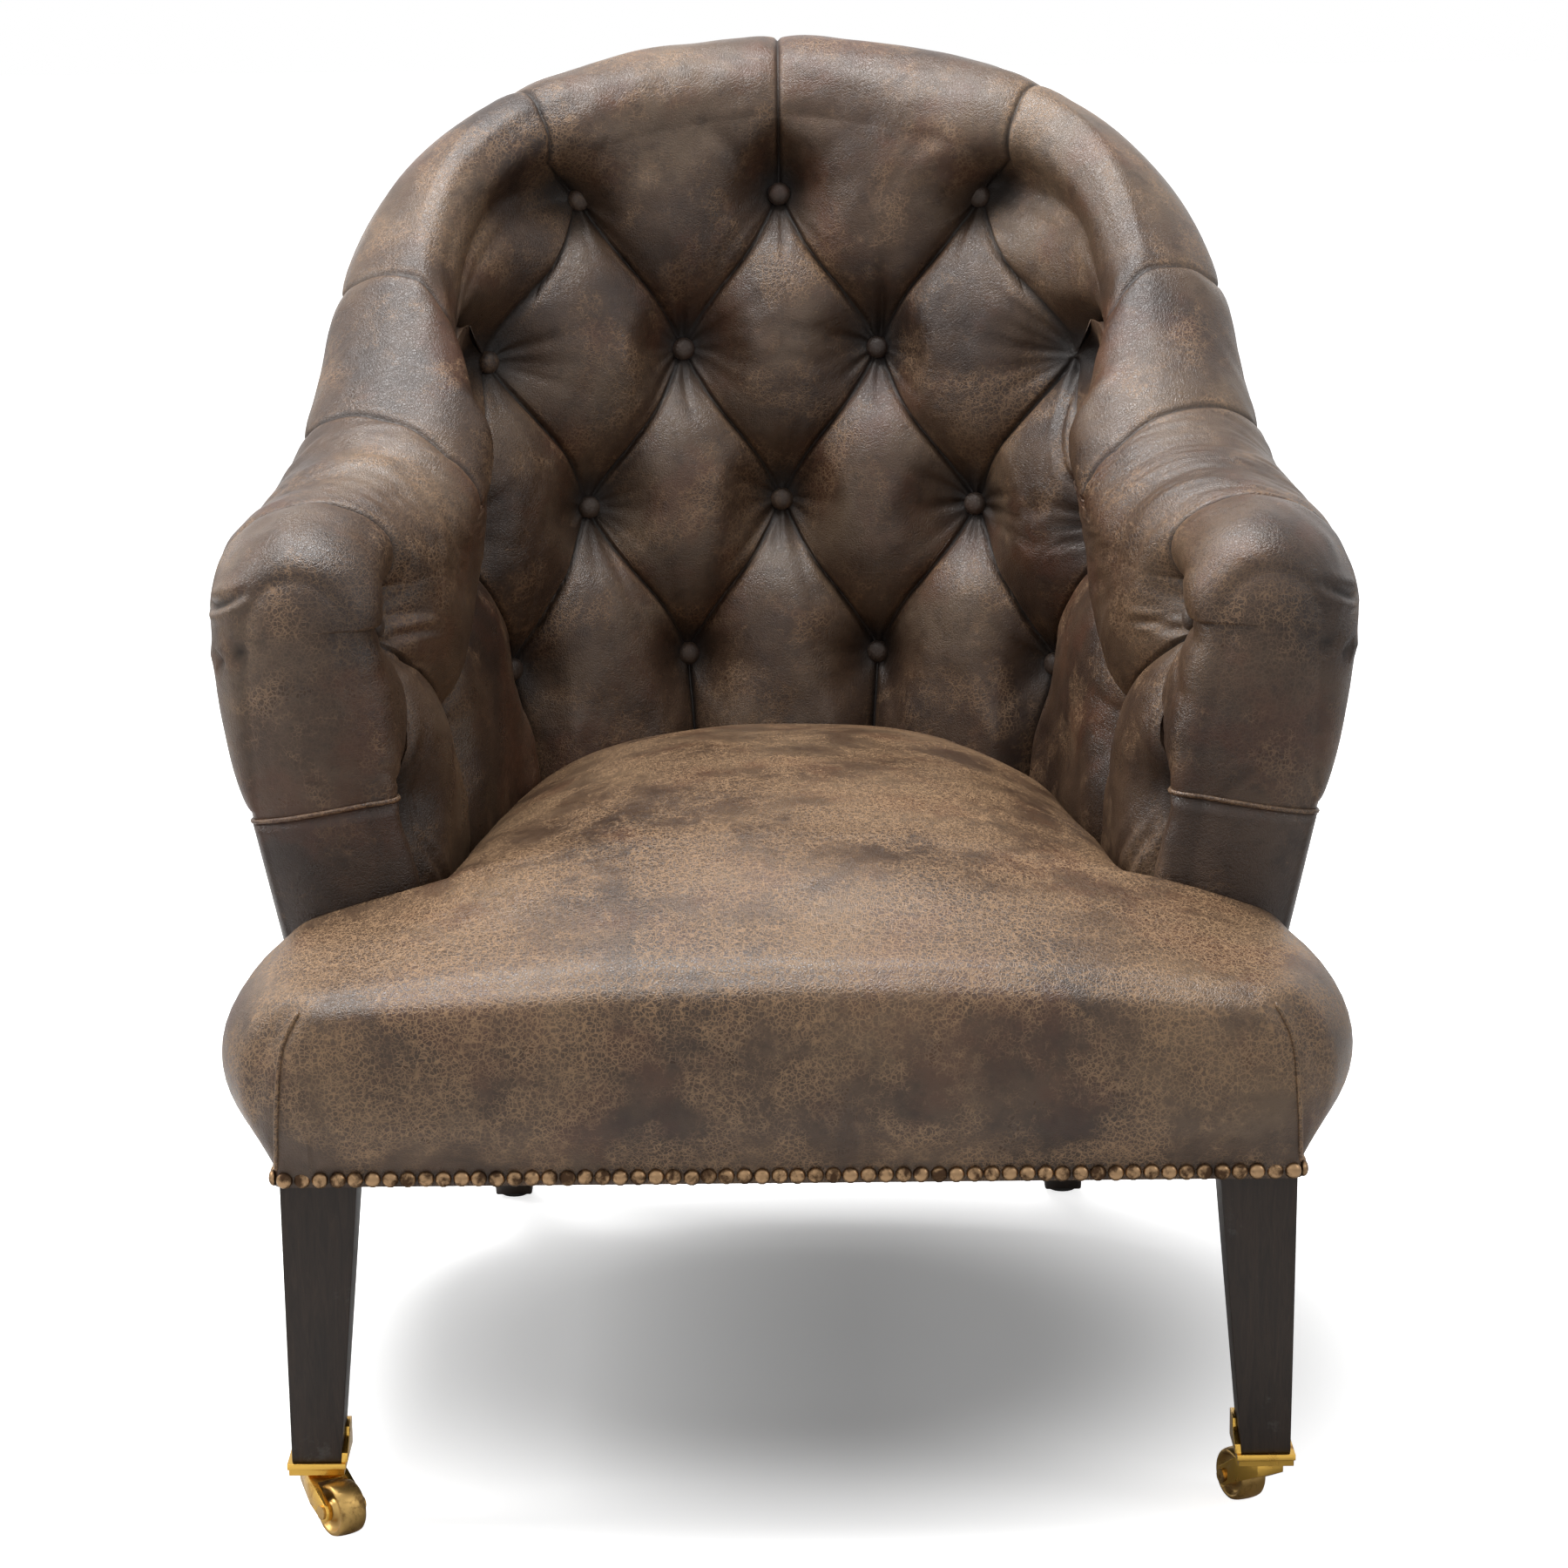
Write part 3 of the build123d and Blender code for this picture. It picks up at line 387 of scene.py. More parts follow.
def makeCloth(name, light, dark, threads):
    material, tree, shader = newMaterial(name)
    where = objectPlace(tree)
    waves = []
    for turn in ((0, 0, 0), (0, 0, math.pi / 2)):
        wave = addNode(tree, "ShaderNodeTexWave", Scale=threads, Distortion=0.6, Detail=2)
        tree.links.new(stretched(tree, where, (1, 1, 1), turn), wave.inputs["Vector"])
        waves.append(wave.outputs["Fac"])
    weave = calc(tree, "MAXIMUM", *waves)
    shade = calc(tree, "MULTIPLY", weave, noise(tree, where, 18, 5, 0.6))
    tree.links.new(mixColours(tree, shade, dark, light), shader.inputs["Base Color"])
    shader.inputs["Roughness"].default_value = 0.9
    addBump(tree, shader, weave, 0.4, 0.0006)
    return material


agedBronze = makeMetal("agedBronze", linear(158, 128, 96), linear(72, 54, 40), 0.28, 0.7, 90)
polishedBrass = makeMetal("polishedBrass", linear(216, 172, 82), linear(150, 106, 46), 0.2, 0.4, 45)
wornBrass = makeMetal("wornBrass", linear(186, 152, 92), linear(110, 84, 50), 0.32, 0.7, 70)
pinSteel = makeMetal("pinSteel", linear(170, 166, 158), linear(96, 90, 82), 0.35, 0.5)
glidePlastic = makeMetal("glidePlastic", linear(60, 58, 56), linear(40, 38, 37), 0.5, 0.4, metallic=0.0)
stainedWood = makeWood("stainedWood", linear(54, 42, 34), linear(32, 25, 20), 0.42)
frameBeech = makeWood("frameBeech", linear(196, 160, 116), linear(160, 124, 84), 0.6, (18, 3, 18))
blackCloth = makeCloth("blackCloth", linear(48, 47, 48), linear(22, 22, 24), 260)
juteWebbing = makeCloth("juteWebbing", linear(188, 160, 116), linear(120, 96, 64), 190)
seatFoam = makeCloth("seatFoam", linear(226, 206, 150), linear(198, 176, 120), 420)


def dressNode(name, material):
    for place in nodes[name].material_slots:
        place.material = material


for nodeName, finish in (
    ("front_rail", frameBeech), ("back_rail", frameBeech), ("corner_blocks", frameBeech),
    ("crest_rail", frameBeech), ("webbing_long", juteWebbing), ("webbing_cross", juteWebbing),
    ("dust_cover", blackCloth), ("rear_glides", glidePlastic),
):
    dressNode(nodeName, finish)
for side, sideName in sides:
    for nodeName, finish in (
        ("side_rail_", frameBeech), ("arm_post_", frameBeech), ("back_post_", frameBeech),
        ("arm_rail_", frameBeech), ("castor_pivot_", pinSteel), ("castor_axle_", wornBrass),
    ):
        dressNode(nodeName + sideName, finish)
print("metal, wood and cloth made")


# Tufted tub: one cover over the inside back and both inside arms.
tub = {
    "pathBack": 620, "backRadius": 340, "backTurn": 32, "cornerRadius": 130, "cornerTurn": 54, "armFront": 610,
    "height": 894, "reach": 127, "rollHalf": 70, "rollRise": 60, "panelReach": 95, "step": 60,
    "heights": [1, 0.994, 0.981, 0.959, 0.915, 0.846, 0.783, 0.733, 0.705, 0.692, 0.68],
    "reaches": [1, 0.945, 0.882, 0.803, 0.677, 0.606, 0.654, 0.74, 0.874, 0.93, 0.87],
    "halves": [0.786, 0.786, 0.786, 0.8, 0.829, 0.886, 0.943, 1, 1, 0.914, 0.843],
    "rises": [0.917, 0.917, 0.917, 0.917, 0.917, 0.917, 0.933, 0.967, 1, 1, 1],
    "panels": [1, 0.947, 0.884, 0.821, 0.758, 0.747, 0.779, 0.8, 0.81, 0.84, 0.87],
    "leans": [1, 0.99, 0.98, 0.87, 0.66, 0.46, 0.28, 0.13, 0, 0, 0],
    "lean": 0.158, "leanLevel": 560,
    "underPlaces": [0, 470, 575], "underRolls": [1.4, 1.4, 2.0],  # how far the roll comes down outside
    "topRow": 781, "rowPitch": 110.3, "pitch": 73.5, "armPitch": 130.5, "frontPitch": 15,
    "drop": 20, "dropStart": 330, "narrow": 0.08, "narrowLow": 530, "narrowHigh": 675,
    "narrowFrom": 147, "narrowTo": 257.25,
    "frameHalf": 316, "frameDepth": 655, "frameRadius": 600, "frameTurn": 18.9,
    "puff": 35, "groove": 15, "bottom": 306, "frontRounding": 26,
    "creaseWidth": 58, "lipPower": 0.6, "pleatWidth": 24, "pleatDepth": 3,
    # how far forward the folds lean on their way over the roll: places, and the shift at each
    "flarePlaces": [0, 147, 220, 294, 425, 555, 584, 610],
    "flareShifts": [0, 30, 104, 130, 50, -30, -16, 0],
    "flareTurns": [0, 45, 90, 120, 150, 180],
    "flareShares": [0.95, 1, 0.9, 0.82, 0.75, 0.6],
    "crestPlaces": [0, 130, 180, 300, 360, 430], "crests": [36, 36, 25, 23, 40, 90],  # how far the roll stands in
    "waistHeights": [306, 400, 440, 500, 540, 563, 600], "waists": [6, 12, 13, 13, 8, 3, 0],  # front of the arms
    "frontBulge": 9, "seamInner": 436, "seamOuter": 421,
    "frontTurns": (7, 14, 21, 28, 36, 44, 52, 60, 68, 76, 83, 90),  # degrees round each arm front
    "frontShares": (0.08, 0.17, 0.27, 0.38, 0.5, 0.62, 0.74, 0.87, 1.0),  # from its rim to its middle
    "rollPoints": 75, "edgePoints": 20, "backPoints": 12,  # round each ring of the cover
    "crestReach": 120, "footReach": 45,  # heights over which the cover turns into the roll, and in at its foot
}


frontStart = tub["armFront"] - tub["frontRounding"]  # the arm fronts begin to round here


def alongPath(name, s):
    return smoothCurve(tub[name], np.abs(s) / tub["step"])


def pathPoint(s):
    # Point of the button line seen from above, and its outward direction.
    s = np.asarray(s, float)
    run, side = np.abs(s), np.where(s < 0, -1.0, 1.0)
    first, second = math.radians(tub["backTurn"]), math.radians(tub["cornerTurn"])
    r1, r2 = tub["backRadius"], tub["cornerRadius"]
    t1 = np.minimum(run / r1, first)
    t = t1 + np.clip((run - r1 * first) / r2, 0, second)
    straight = np.maximum(run - r1 * first - r2 * second, 0)
    x = r1 * np.sin(t1) + r2 * (np.sin(t) - np.sin(t1)) + straight * np.cos(t)
    y = tub["pathBack"] - r1 * (1 - np.cos(t1)) - r2 * (np.cos(t1) - np.cos(t)) - straight * np.sin(t)
    return side * x, y, side * np.sin(t), np.cos(t)


def pathPlace(s):
    return [float(q) for q in pathPoint(s)]


def columnPlace(c):
    c = np.asarray(c, float)
    arm = np.clip(c - 4, 0, 2) * tub["armPitch"]
    return np.minimum(c, 4) * tub["pitch"] + arm + np.maximum(c - 6, 0) * tub["frontPitch"]


columnPlaces = [float(columnPlace(c)) for c in range(8)]


def placeColumn(s):
    return np.interp(np.abs(s), columnPlaces, range(8))


def rowHeight(row, s):
    dropped = climb(np.abs(s), tub["dropStart"], columnPlaces[7] - tub["dropStart"])
    return tub["topRow"] - (row - 1) * tub["rowPitch"] - tub["drop"] * dropped


def buttonLine(s, z):
    return tub["lean"] * alongPath("leans", s) * (z - tub["leanLevel"])


def narrowed(s, z):
    rise = climb(z, tub["narrowLow"], tub["narrowHigh"] - tub["narrowLow"])
    out = np.clip((tub["narrowTo"] - np.abs(s)) / (tub["narrowTo"] - tub["narrowFrom"]), 0, 1)
    return s * (1 - tub["narrow"] * rise * out)


def flare(s):
    return float(np.sign(s) * np.interp(abs(s), tub["flarePlaces"], tub["flareShifts"]))


def buttonSpots():
    spots = []
    for row in (1, 2, 3, 4):
        for column in range(8):
            if (row + column) % 2 == 1 and (row > 2 or column <= row + 1 and column < 4):
                for side in ((-1, 1) if column else (1,)):
                    spots.append((row, side * columnPlaces[column], column))
    return spots


def topFold(s):
    # Height of the uppermost chain of buttons and creases.
    rows = (1, 2, 1, 2, 3, 4, 3, 4)
    heights = [float(rowHeight(row, place)) for row, place in zip(rows, columnPlaces)]
    return float(np.interp(abs(s), columnPlaces + [tub["armFront"]], heights + [heights[-1] + 8]))


def rollShape(s, inset=0.0):
    top = tub["height"] * alongPath("heights", s) - inset
    half = tub["rollHalf"] * alongPath("halves", s) - inset
    outer = tub["reach"] * alongPath("reaches", s) - inset
    rise = tub["rollRise"] * alongPath("rises", s) - inset
    panel = tub["panelReach"] * alongPath("panels", s) - inset * 0.3 + 5 * climb(np.abs(s), 540, 40)
    level = top - rise
    under = np.interp(np.abs(s), tub["underPlaces"], tub["underRolls"])
    return {"top": top, "half": half, "outer": outer, "rise": rise, "middle": outer - half, "level": level,
            "panel": panel, "panelTop": level - under * (rise + inset)}


def tuftSegments():
    # Creases between buttons on the unrolled face: the two ends of each.
    spots = {(row, round(place, 2)): float(rowHeight(row, place)) for row, place, _ in buttonSpots()}
    segments = []
    for row, place, column in buttonSpots():
        for step in (-1, 1):
            nextColumn = column + step if column else 1
            if not 0 <= nextColumn <= 7:
                continue
            side = math.copysign(1, place) if column else step
            key = (row + 1, round(side * columnPlaces[nextColumn], 2))
            if key in spots:
                segments.append((place, float(rowHeight(row, place)), key[1], spots[key]))
    return segments


# Loose folds of the real hide: places and heights along each, then its depth and half width.
looseFolds = [
    ([(276, 575), (256, 625), (262, 668), (288, 715)], 4.0, 3.4),
    ([(288, 580), (270, 628), (277, 672), (305, 722)], 3.4, 3.2),
    ([(297, 590), (284, 632), (292, 676), (322, 722)], 3.0, 3.0),
    ([(303, 606), (298, 640), (308, 680), (336, 718)], 2.2, 3.0),
    ([(158, 568), (205, 571), (250, 568), (284, 562)], 3.2, 3.0),
    ([(160, 558), (205, 559), (250, 556), (284, 556)], 3.4, 3.0),
    ([(162, 548), (206, 545), (250, 544), (282, 548)], 2.6, 3.2),
    ([(222, 676), (228, 640), (246, 600), (280, 572)], 3.0, 2.4),
    ([(-478, 400), (-500, 440), (-545, 425)], 1.5, 4.0),
    ([(-555, 522), (-520, 530), (-490, 528)], 2.4, 3.0),
    ([(-558, 512), (-525, 512), (-495, 505)], 2.2, 3.0),
    ([(555, 524), (522, 531), (492, 530)], 2.4, 3.0),
    ([(-570, 420), (-556, 392), (-538, 352)], 3.0, 3.2),
    ([(-574, 418), (-566, 384), (-556, 350)], 2.4, 2.6),
    ([(570, 420), (556, 392), (538, 352)], 3.0, 3.2),
    ([(574, 418), (566, 384), (556, 350)], 2.4, 2.6),
    ([(564, 424), (544, 398), (520, 366)], 2.0, 3.2),
    ([(-40, 690), (0, 684), (44, 689)], 1.3, 3.6),
    ([(-48, 664), (0, 660), (46, 665)], 1.5, 3.6),
    ([(-44, 676), (2, 672), (46, 678)], 1.6, 3.2),
]


foldRidge = {"share": 0.35, "away": 6, "width": 3}  # the low ridge beside each loose fold

# Creases and the sockets of the buttons: depths, half widths, how much painted shade darkens them from 0 to 1, and
# the painted highlight beside each crease.
creases = {
    "bow": 3.5, "notch": 2.2, "notchWidth": 1.5, "creaseShadeWidth": 1.4, "ridgeHighlightPlace": 4.2, "ridgeHighlightWidth": 1.6,
    "pleatNotch": 1.7,
    "socketShade": 0.95, "socketWidth": 15, "socketClear": 22, "socketRaised": 5, "socketTall": 1.35,
}

# Small wrinkles fanning out from each button, with the least and the most of what varies.
fan = {"seed": 23, "count": 15, "reach": 95, "lengths": (30, 92), "depths": (1.1, 4.2), "bend": 0.004,
       "width": 2.3, "spread": 0.04}


def distanceTo(s, v, a, b, c, d):
    dx, dy = c - a, d - b
    t = np.clip(((s - a) * dx + (v - b) * dy) / (dx * dx + dy * dy), 0, 1)
    sideOf = np.sign((s - a) * dy - (v - b) * dx) * (1 if dy >= 0 else -1)
    return np.hypot(s - a - t * dx, v - b - t * dy), t, sideOf


def lip(distance, width, power):
    return np.sin(np.pi / 2 * np.clip(distance / width, 0, 1)) ** power


def tuftDepth(s, v, moved, foldMoved):
    # How far the cover is drawn in below its full surface, the painted shade in its folds and sockets, and the
    # painted highlight beside each fold.
    puff, width = tub["puff"], tub["creaseWidth"]
    fullness = np.ones_like(s)
    paintedShade, light, notch = np.zeros_like(s), np.zeros_like(s), np.zeros_like(s)
    columnOf = np.tile(np.arange(s.shape[1]), (s.shape[0], 1))
    for a, b, c, d in tuftSegments():
        near = ((np.abs(s - (a + c) / 2) < abs(a - c) / 2 + width)
                & (np.abs(v - (b + d) / 2) < abs(b - d) / 2 + width))
        dist, t, sideOf = distanceTo(s[near], v[near], a, b, c, d)
        bow = creases["bow"] * np.sin(2 * np.pi * t) * (1 if c > a else -1)
        dist = np.abs(dist * sideOf + bow * np.exp(-dist / 25))
        depth = puff - tub["groove"] * np.sin(np.pi * t) ** 0.8
        fullness[near] *= 1 - depth / puff * (1 - lip(dist, width, tub["lipPower"]))
        notch[near] = np.maximum(notch[near], creases["notch"] * bell(dist, creases["notchWidth"]))
        # painted shade along the crease
        paintedShade[near] = np.maximum(paintedShade[near], bell(dist, creases["creaseShadeWidth"]))
        # painted highlight on the ridge beside the crease
        light[near] = np.maximum(light[near], 0.9 * bell(dist - creases["ridgeHighlightPlace"], creases["ridgeHighlightWidth"]))
    for row, place, column in buttonSpots():
        z = float(rowHeight(row, place))
        around = np.hypot(s - place, (v - z - creases["socketRaised"]) / creases["socketTall"])
        # painted shade round each button socket
        paintedShade = np.maximum(paintedShade, creases["socketShade"] * bell(around, creases["socketWidth"]))
        light *= 1 - bell(around, creases["socketClear"])
        if row == {0: 1, 2: 1, 3: 2, 4: 3, 6: 3}.get(column):
            near = (np.abs(s - place) < 75) & (v > z - 40)
            run = np.abs(moved[near])
            bend = np.where(run < 190, 1 / 340, np.where(run < 312, 1 / 130, 0))
            offset = np.clip((v[near] - z) / 3, 0, 60)
            across = np.abs(moved[near] - foldMoved[round(place, 2)][columnOf[near]]) * (1 + offset * bend)
            crest = float(rollShape(place)["level"])
            high = climb(v[near], z, max(crest - z, 20))
            depth = tub["pleatDepth"] + (puff - tub["pleatDepth"]) * np.cos(np.pi / 2 * high) ** 1.4
            wide = tub["pleatWidth"] * (1.7 - 0.9 * high)
            reached = v[near] >= z
        elif row == 4:
            near = (np.abs(s - place) < 60) & (v < z + 40)
            across = np.abs(s[near] - place)
            down = np.clip((z - v[near]) / (z - tub["bottom"]), 0, 1)
            depth, wide = puff * (1 - 0.5 * down), tub["pleatWidth"] * 1.5
            reached = v[near] <= z
        else:
            continue
        dist = np.where(reached, across, np.hypot(across, v[near] - z))
        fullness[near] *= 1 - depth / puff * (1 - lip(dist, wide, 0.7))
        edge = np.where(reached, bell(across, creases["notchWidth"]), 0)
        # painted shade along the pleat
        paintedShade[near] = np.maximum(paintedShade[near], edge)
        notch[near] = np.maximum(notch[near], creases["pleatNotch"] * edge)
        # painted highlight on the ridge beside the pleat
        rim = np.where(reached, bell(across - 4, 1.8), 0)
        light[near] = np.maximum(light[near], rim * 0.8)
    return puff * (1 - fullness) + notch, paintedShade, light


def fanWrinkles(s, v):
    # Small creases that run out from each button, and the loose folds of the list above.
    drawn = np.zeros_like(s)
    source = np.random.default_rng(fan["seed"])
    for row, place, column in buttonSpots():
        z = float(rowHeight(row, place))
        near = (np.abs(s - place) < fan["reach"]) & (np.abs(v - z) < fan["reach"])
        sn, vn = s[near] - place, v[near] - z
        total = np.zeros_like(sn)
        for angle in np.arange(fan["count"]) / fan["count"] * 2 * np.pi + source.uniform(-0.2, 0.2, fan["count"]):
            length, depth = source.uniform(*fan["lengths"]), source.uniform(*fan["depths"])
            curve = source.uniform(-fan["bend"], fan["bend"])
            along = sn * math.cos(angle) + vn * math.sin(angle)
            across = -sn * math.sin(angle) + vn * math.cos(angle) - curve * along ** 2
            shape = np.clip(along / 10, 0, 1) * np.clip(1 - along / length, 0, 1)
            total += depth * shape * bell(across, fan["width"] + np.abs(along) * fan["spread"])
        drawn[near] += total
    for spots, depth, width in looseFolds:
        spots = np.array(spots, float)
        steps = np.linspace(0, len(spots) - 1.001, 24)
        line = np.stack([smoothCurve(spots[:, 0], steps), smoothCurve(spots[:, 1], steps)], 1)
        low, high = line.min(0) - 16, line.max(0) + 16
        near = (s > low[0]) & (s < high[0]) & (v > low[1]) & (v < high[1])
        best, shape = np.full(near.sum(), 99.0), np.zeros(near.sum())
        for k in range(len(line) - 1):
            dist, t, _ = distanceTo(s[near], v[near], *line[k], *line[k + 1])
            closer = dist < best
            best = np.where(closer, dist, best)
            ease = np.sin(np.pi * np.clip((k + t) / (len(line) - 1), 0, 1)) ** 0.6
            shape = np.where(closer, ease, shape)
        ridge = foldRidge["share"] * bell(best - foldRidge["away"], foldRidge["width"])
        drawn[near] += shape * depth * (bell(best, width) - ridge)
    return drawn


def softSwell(s, v, size, seed):
    # Smooth random swell over the unrolled face.
    source = np.random.default_rng(seed)
    total = np.zeros_like(s)
    for _ in range(14):
        angle, phase = source.uniform(0, 2 * np.pi, 2)
        wave = 2 * np.pi / (size * source.uniform(0.7, 1.6))
        total += np.sin(wave * (s * math.cos(angle) + v * math.sin(angle)) + phase)
    return total / 14 ** 0.5


def coverPlaces():
    places = list(np.arange(0, 540, 3.6)) + list(np.arange(540, frontStart, 2.2)) + [frontStart]
    for place in columnPlaces:
        places = [s for s in places if abs(s - place) > 5 or s == frontStart]
        places += [abs(place + d) for d in (-4.4, -2.8, -1.6, -0.8, 0, 0.8, 1.6, 2.8, 4.4)]
    kept = [0.0]
    for s in sorted(float(p) for p in places):
        if s - kept[-1] > 0.5 and s <= frontStart or s in columnPlaces and s > kept[-1]:
            kept.append(s)
    return kept


def cosineSteps(count):
    return (1 - np.cos(np.pi * np.arange(count) / count)) / 2


def creaseHeight(row, c, s):
    first = math.floor(c)
    share = c - first
    odd = (row + first) % 2 == 1
    upper, lower = float(rowHeight(row, s)), float(rowHeight(row + 1, s))
    return (upper if odd else lower) * (1 - share) + (lower if odd else upper) * share


innerCounts = (46, 40, 40, 26)  # points up the inner face between its creases
innerCount = sum(innerCounts)


def coverHeights(s, level):
    # Heights up the inner face at one place, with a point on every crease.
    c = min(float(placeColumn(s)), 6.999)
    z3 = creaseHeight(3, c, s)
    z2 = creaseHeight(2, c, s) if c <= 4 else z3 + (level - z3) * 0.33
    z1 = creaseHeight(1, c, s) if c <= 3 else z2 + (level - z2) * 0.5
    z2 = min(max(z2, z3 + 3), level - 12)
    z1 = min(max(z1, z2 + 3), level - 6)
    heights = []
    for low, high, count in zip((tub["bottom"], z3, z2, z1), (z3, z2, z1, level), innerCounts):
        heights += list(low + (high - low) * cosineSteps(count))
    return np.array(heights)


def frameReach(s):
    # Distance from the path out to the seat frame's outline, found by halving.
    px, py, dx, dy = pathPlace(s)
    turn, half = math.radians(tub["frameTurn"]), tub["frameHalf"]
    radius = (half - tub["frameRadius"] * math.sin(turn)) / (1 - math.sin(turn))
    backY = tub["frameDepth"] - tub["frameRadius"]
    cornerY = backY + (tub["frameRadius"] - radius) * math.cos(turn)
    near, far = 0.0, half
    for _ in range(26):
        middle = (near + far) / 2
        x, y = abs(px + dx * middle), py + dy * middle
        if y < cornerY:
            outside = x - half
        elif math.atan2(x, y - backY) > turn:
            outside = math.hypot(x - half + radius, y - cornerY) - radius
        else:
            outside = math.hypot(x, y - backY) - tub["frameRadius"]
        near, far = (near, middle) if outside > 0 else (middle, far)
    return near


def innerHalf(place, roll):
    # Half width of the roll on its inner side.
    limit = np.interp(np.abs(place), tub["crestPlaces"], tub["crests"])
    return np.minimum(roll["half"], limit - buttonLine(place, roll["level"]) + roll["middle"])


def isFront(s):
    return abs(s) > frontStart - 0.1


def coverRing(s, inset):
    # One upright ring of the cover: places, offsets, heights, pattern heights and inward directions.
    roll = rollShape(s, inset)
    level = float(roll["level"])
    heights, top = coverHeights(s, level), topFold(s)
    t = climb(heights, top, max(level - top, 1))
    shift = flare(s)
    placeInner = narrowed(s, heights) + shift * 0.95 * t
    there = rollShape(placeInner, inset)
    zInner = np.where(heights > top, top + t * (there["level"] - top), heights)
    crest = buttonLine(placeInner, there["level"]) - (there["middle"] - innerHalf(placeInner, there))
    full = tub["puff"] - inset
    blend = climb(zInner, there["level"] - tub["crestReach"], tub["crestReach"]) ** 1.7
    depth = full + (crest - full) * blend
    low = np.sin(np.pi / 2 * climb(heights, tub["bottom"], tub["footReach"]))
    foot = 12 - inset / 2
    oInner = buttonLine(placeInner, zInner) - foot - (depth - foot) * low
    waist = np.interp(zInner, tub["waistHeights"], tub["waists"])
    oInner = oInner + waist * climb(abs(s), 562, 26)
    turns = np.linspace(0, np.pi, tub["rollPoints"])[:-1]
    upRoll = np.interp(np.degrees(turns), tub["flareTurns"], tub["flareShares"])
    narrowTop = float(narrowed(s, level)) - s
    placeRoll = s + narrowTop * np.cos(turns / 2) ** 2 + shift * upRoll
    r = rollShape(placeRoll, inset)
    across = np.where(turns < np.pi / 2, innerHalf(placeRoll, r), r["half"])
    oRoll, zRoll = r["middle"] - across * np.cos(turns), r["level"] + r["rise"] * np.sin(turns)
    edges = np.linspace(0, np.pi / 2, tub["edgePoints"])
    placeEdge = s + shift * tub["flareShares"][-1] * np.cos(edges) ** 2
    e = rollShape(placeEdge, inset)
    power = 1.5 - 0.3 * climb(abs(s), 470, 105)
    oEdge = e["panel"] + (e["outer"] - e["panel"]) * np.cos(edges) ** power
    zEdge = e["level"] - (e["level"] - e["panelTop"]) * np.sin(edges) ** power
    arc = math.pi * (float(roll["half"]) + float(roll["rise"])) / 2
    rest = level - float(roll["panelTop"])
    back = np.linspace(0, 1, tub["backPoints"])[1:]
    if isFront(s):
        endO = frameReach(s) + 5 - inset * 0.3
        oBack = oEdge[-1] + (endO - oEdge[-1]) * back
        zBack = zEdge[-1] + (tub["bottom"] - zEdge[-1]) * back
    else:
        lowO = float(buttonLine(s, tub["bottom"])) + 14
        highO = float(buttonLine(s, zEdge[-1])) + 14
        oBack = np.interp(back, [0, 0.3, 1], [oEdge[-1], highO, lowO])
        zBack = np.interp(back, [0, 0.3, 1], [zEdge[-1], zEdge[-1], tub["bottom"]])
    ones = np.ones(len(heights))
    return (
        np.concatenate([placeInner, placeRoll, placeEdge, np.full(len(back), s)]),
        np.concatenate([oInner, oRoll, oEdge, oBack]),
        np.concatenate([zInner, zRoll, zEdge, zBack]),
        np.concatenate([heights, level + arc * turns / np.pi, level + arc + rest * edges / (np.pi / 2),
                        np.full(len(back), level + arc + rest)]),
        np.concatenate([ones, np.cos(turns) / r["half"] * 60, -np.cos(edges), -np.ones(len(back))]),
        np.concatenate([0 * ones, -np.sin(turns) / r["rise"] * 60, np.sin(edges), np.zeros(len(back))]),
        np.concatenate([ones, np.ones(len(turns)), 1 - edges / (np.pi / 2), np.zeros(len(back))]),
    )


def buildTub():
    half = coverPlaces()
    rounding = tub["frontRounding"]
    turns = [math.radians(a) for a in tub["frontTurns"]]
    caps = [(frontStart + rounding * math.sin(a), rounding * (1 - math.cos(a))) for a in turns]
    stations = [(s, 0.0) for s in half] + caps
    stations = [(-s, i) for s, i in reversed(stations[1:])] + stations
    rings = [coverRing(s, inset) for s, inset in stations]
    place, o, z, v, inO, inZ, live = [np.array([r[k] for r in rings]) for k in range(7)]
    length = np.hypot(inO, inZ)
    count = place.shape[1]
    pattern = np.repeat([s for s, _ in stations], count).reshape(place.shape)
    inset = np.repeat([i for _, i in stations], count).reshape(place.shape)
    foldMoved = {round(s, 2): place[k] for k, (s, _) in enumerate(stations)}
    depth, paintedShade, light = tuftDepth(pattern, v, place, foldMoved)
    depth = np.minimum(depth, (tub["puff"] + 3) * (1 - inset / 40))
    swell = softSwell(pattern, v, 75, 3) * 0.9 + softSwell(pattern, v, 28, 5) * 0.3
    total = depth + fanWrinkles(pattern, v) * (1 - inset / 60) - swell * np.clip(1 - depth / 20, 0, 1)
    total *= live
    o, z = o + total * inO / length, z + total * inZ / length
    x, y, nx, ny = pathPoint(place)
    points = np.stack([x + nx * o, y + ny * o, z], -1)
    # painted shade: darker along creases, round the buttons and where the tufts are drawn deep
    paintedShade = np.clip(paintedShade * 0.85 + np.clip((depth - 20) / 30, 0, 0.55), 0, 1) * live
    level = np.repeat(v[:, innerCount], count).reshape(place.shape)
    arm = climb(np.abs(pattern), 230, 150)
    # lighter along the arm crests where the hide is rubbed, plus the painted highlight beside each crease
    rub = np.clip(0.5 * bell(v - level - 20, 70) * arm + light * 0.55, 0, 1)
    return points, paintedShade, rub, o, z, stations


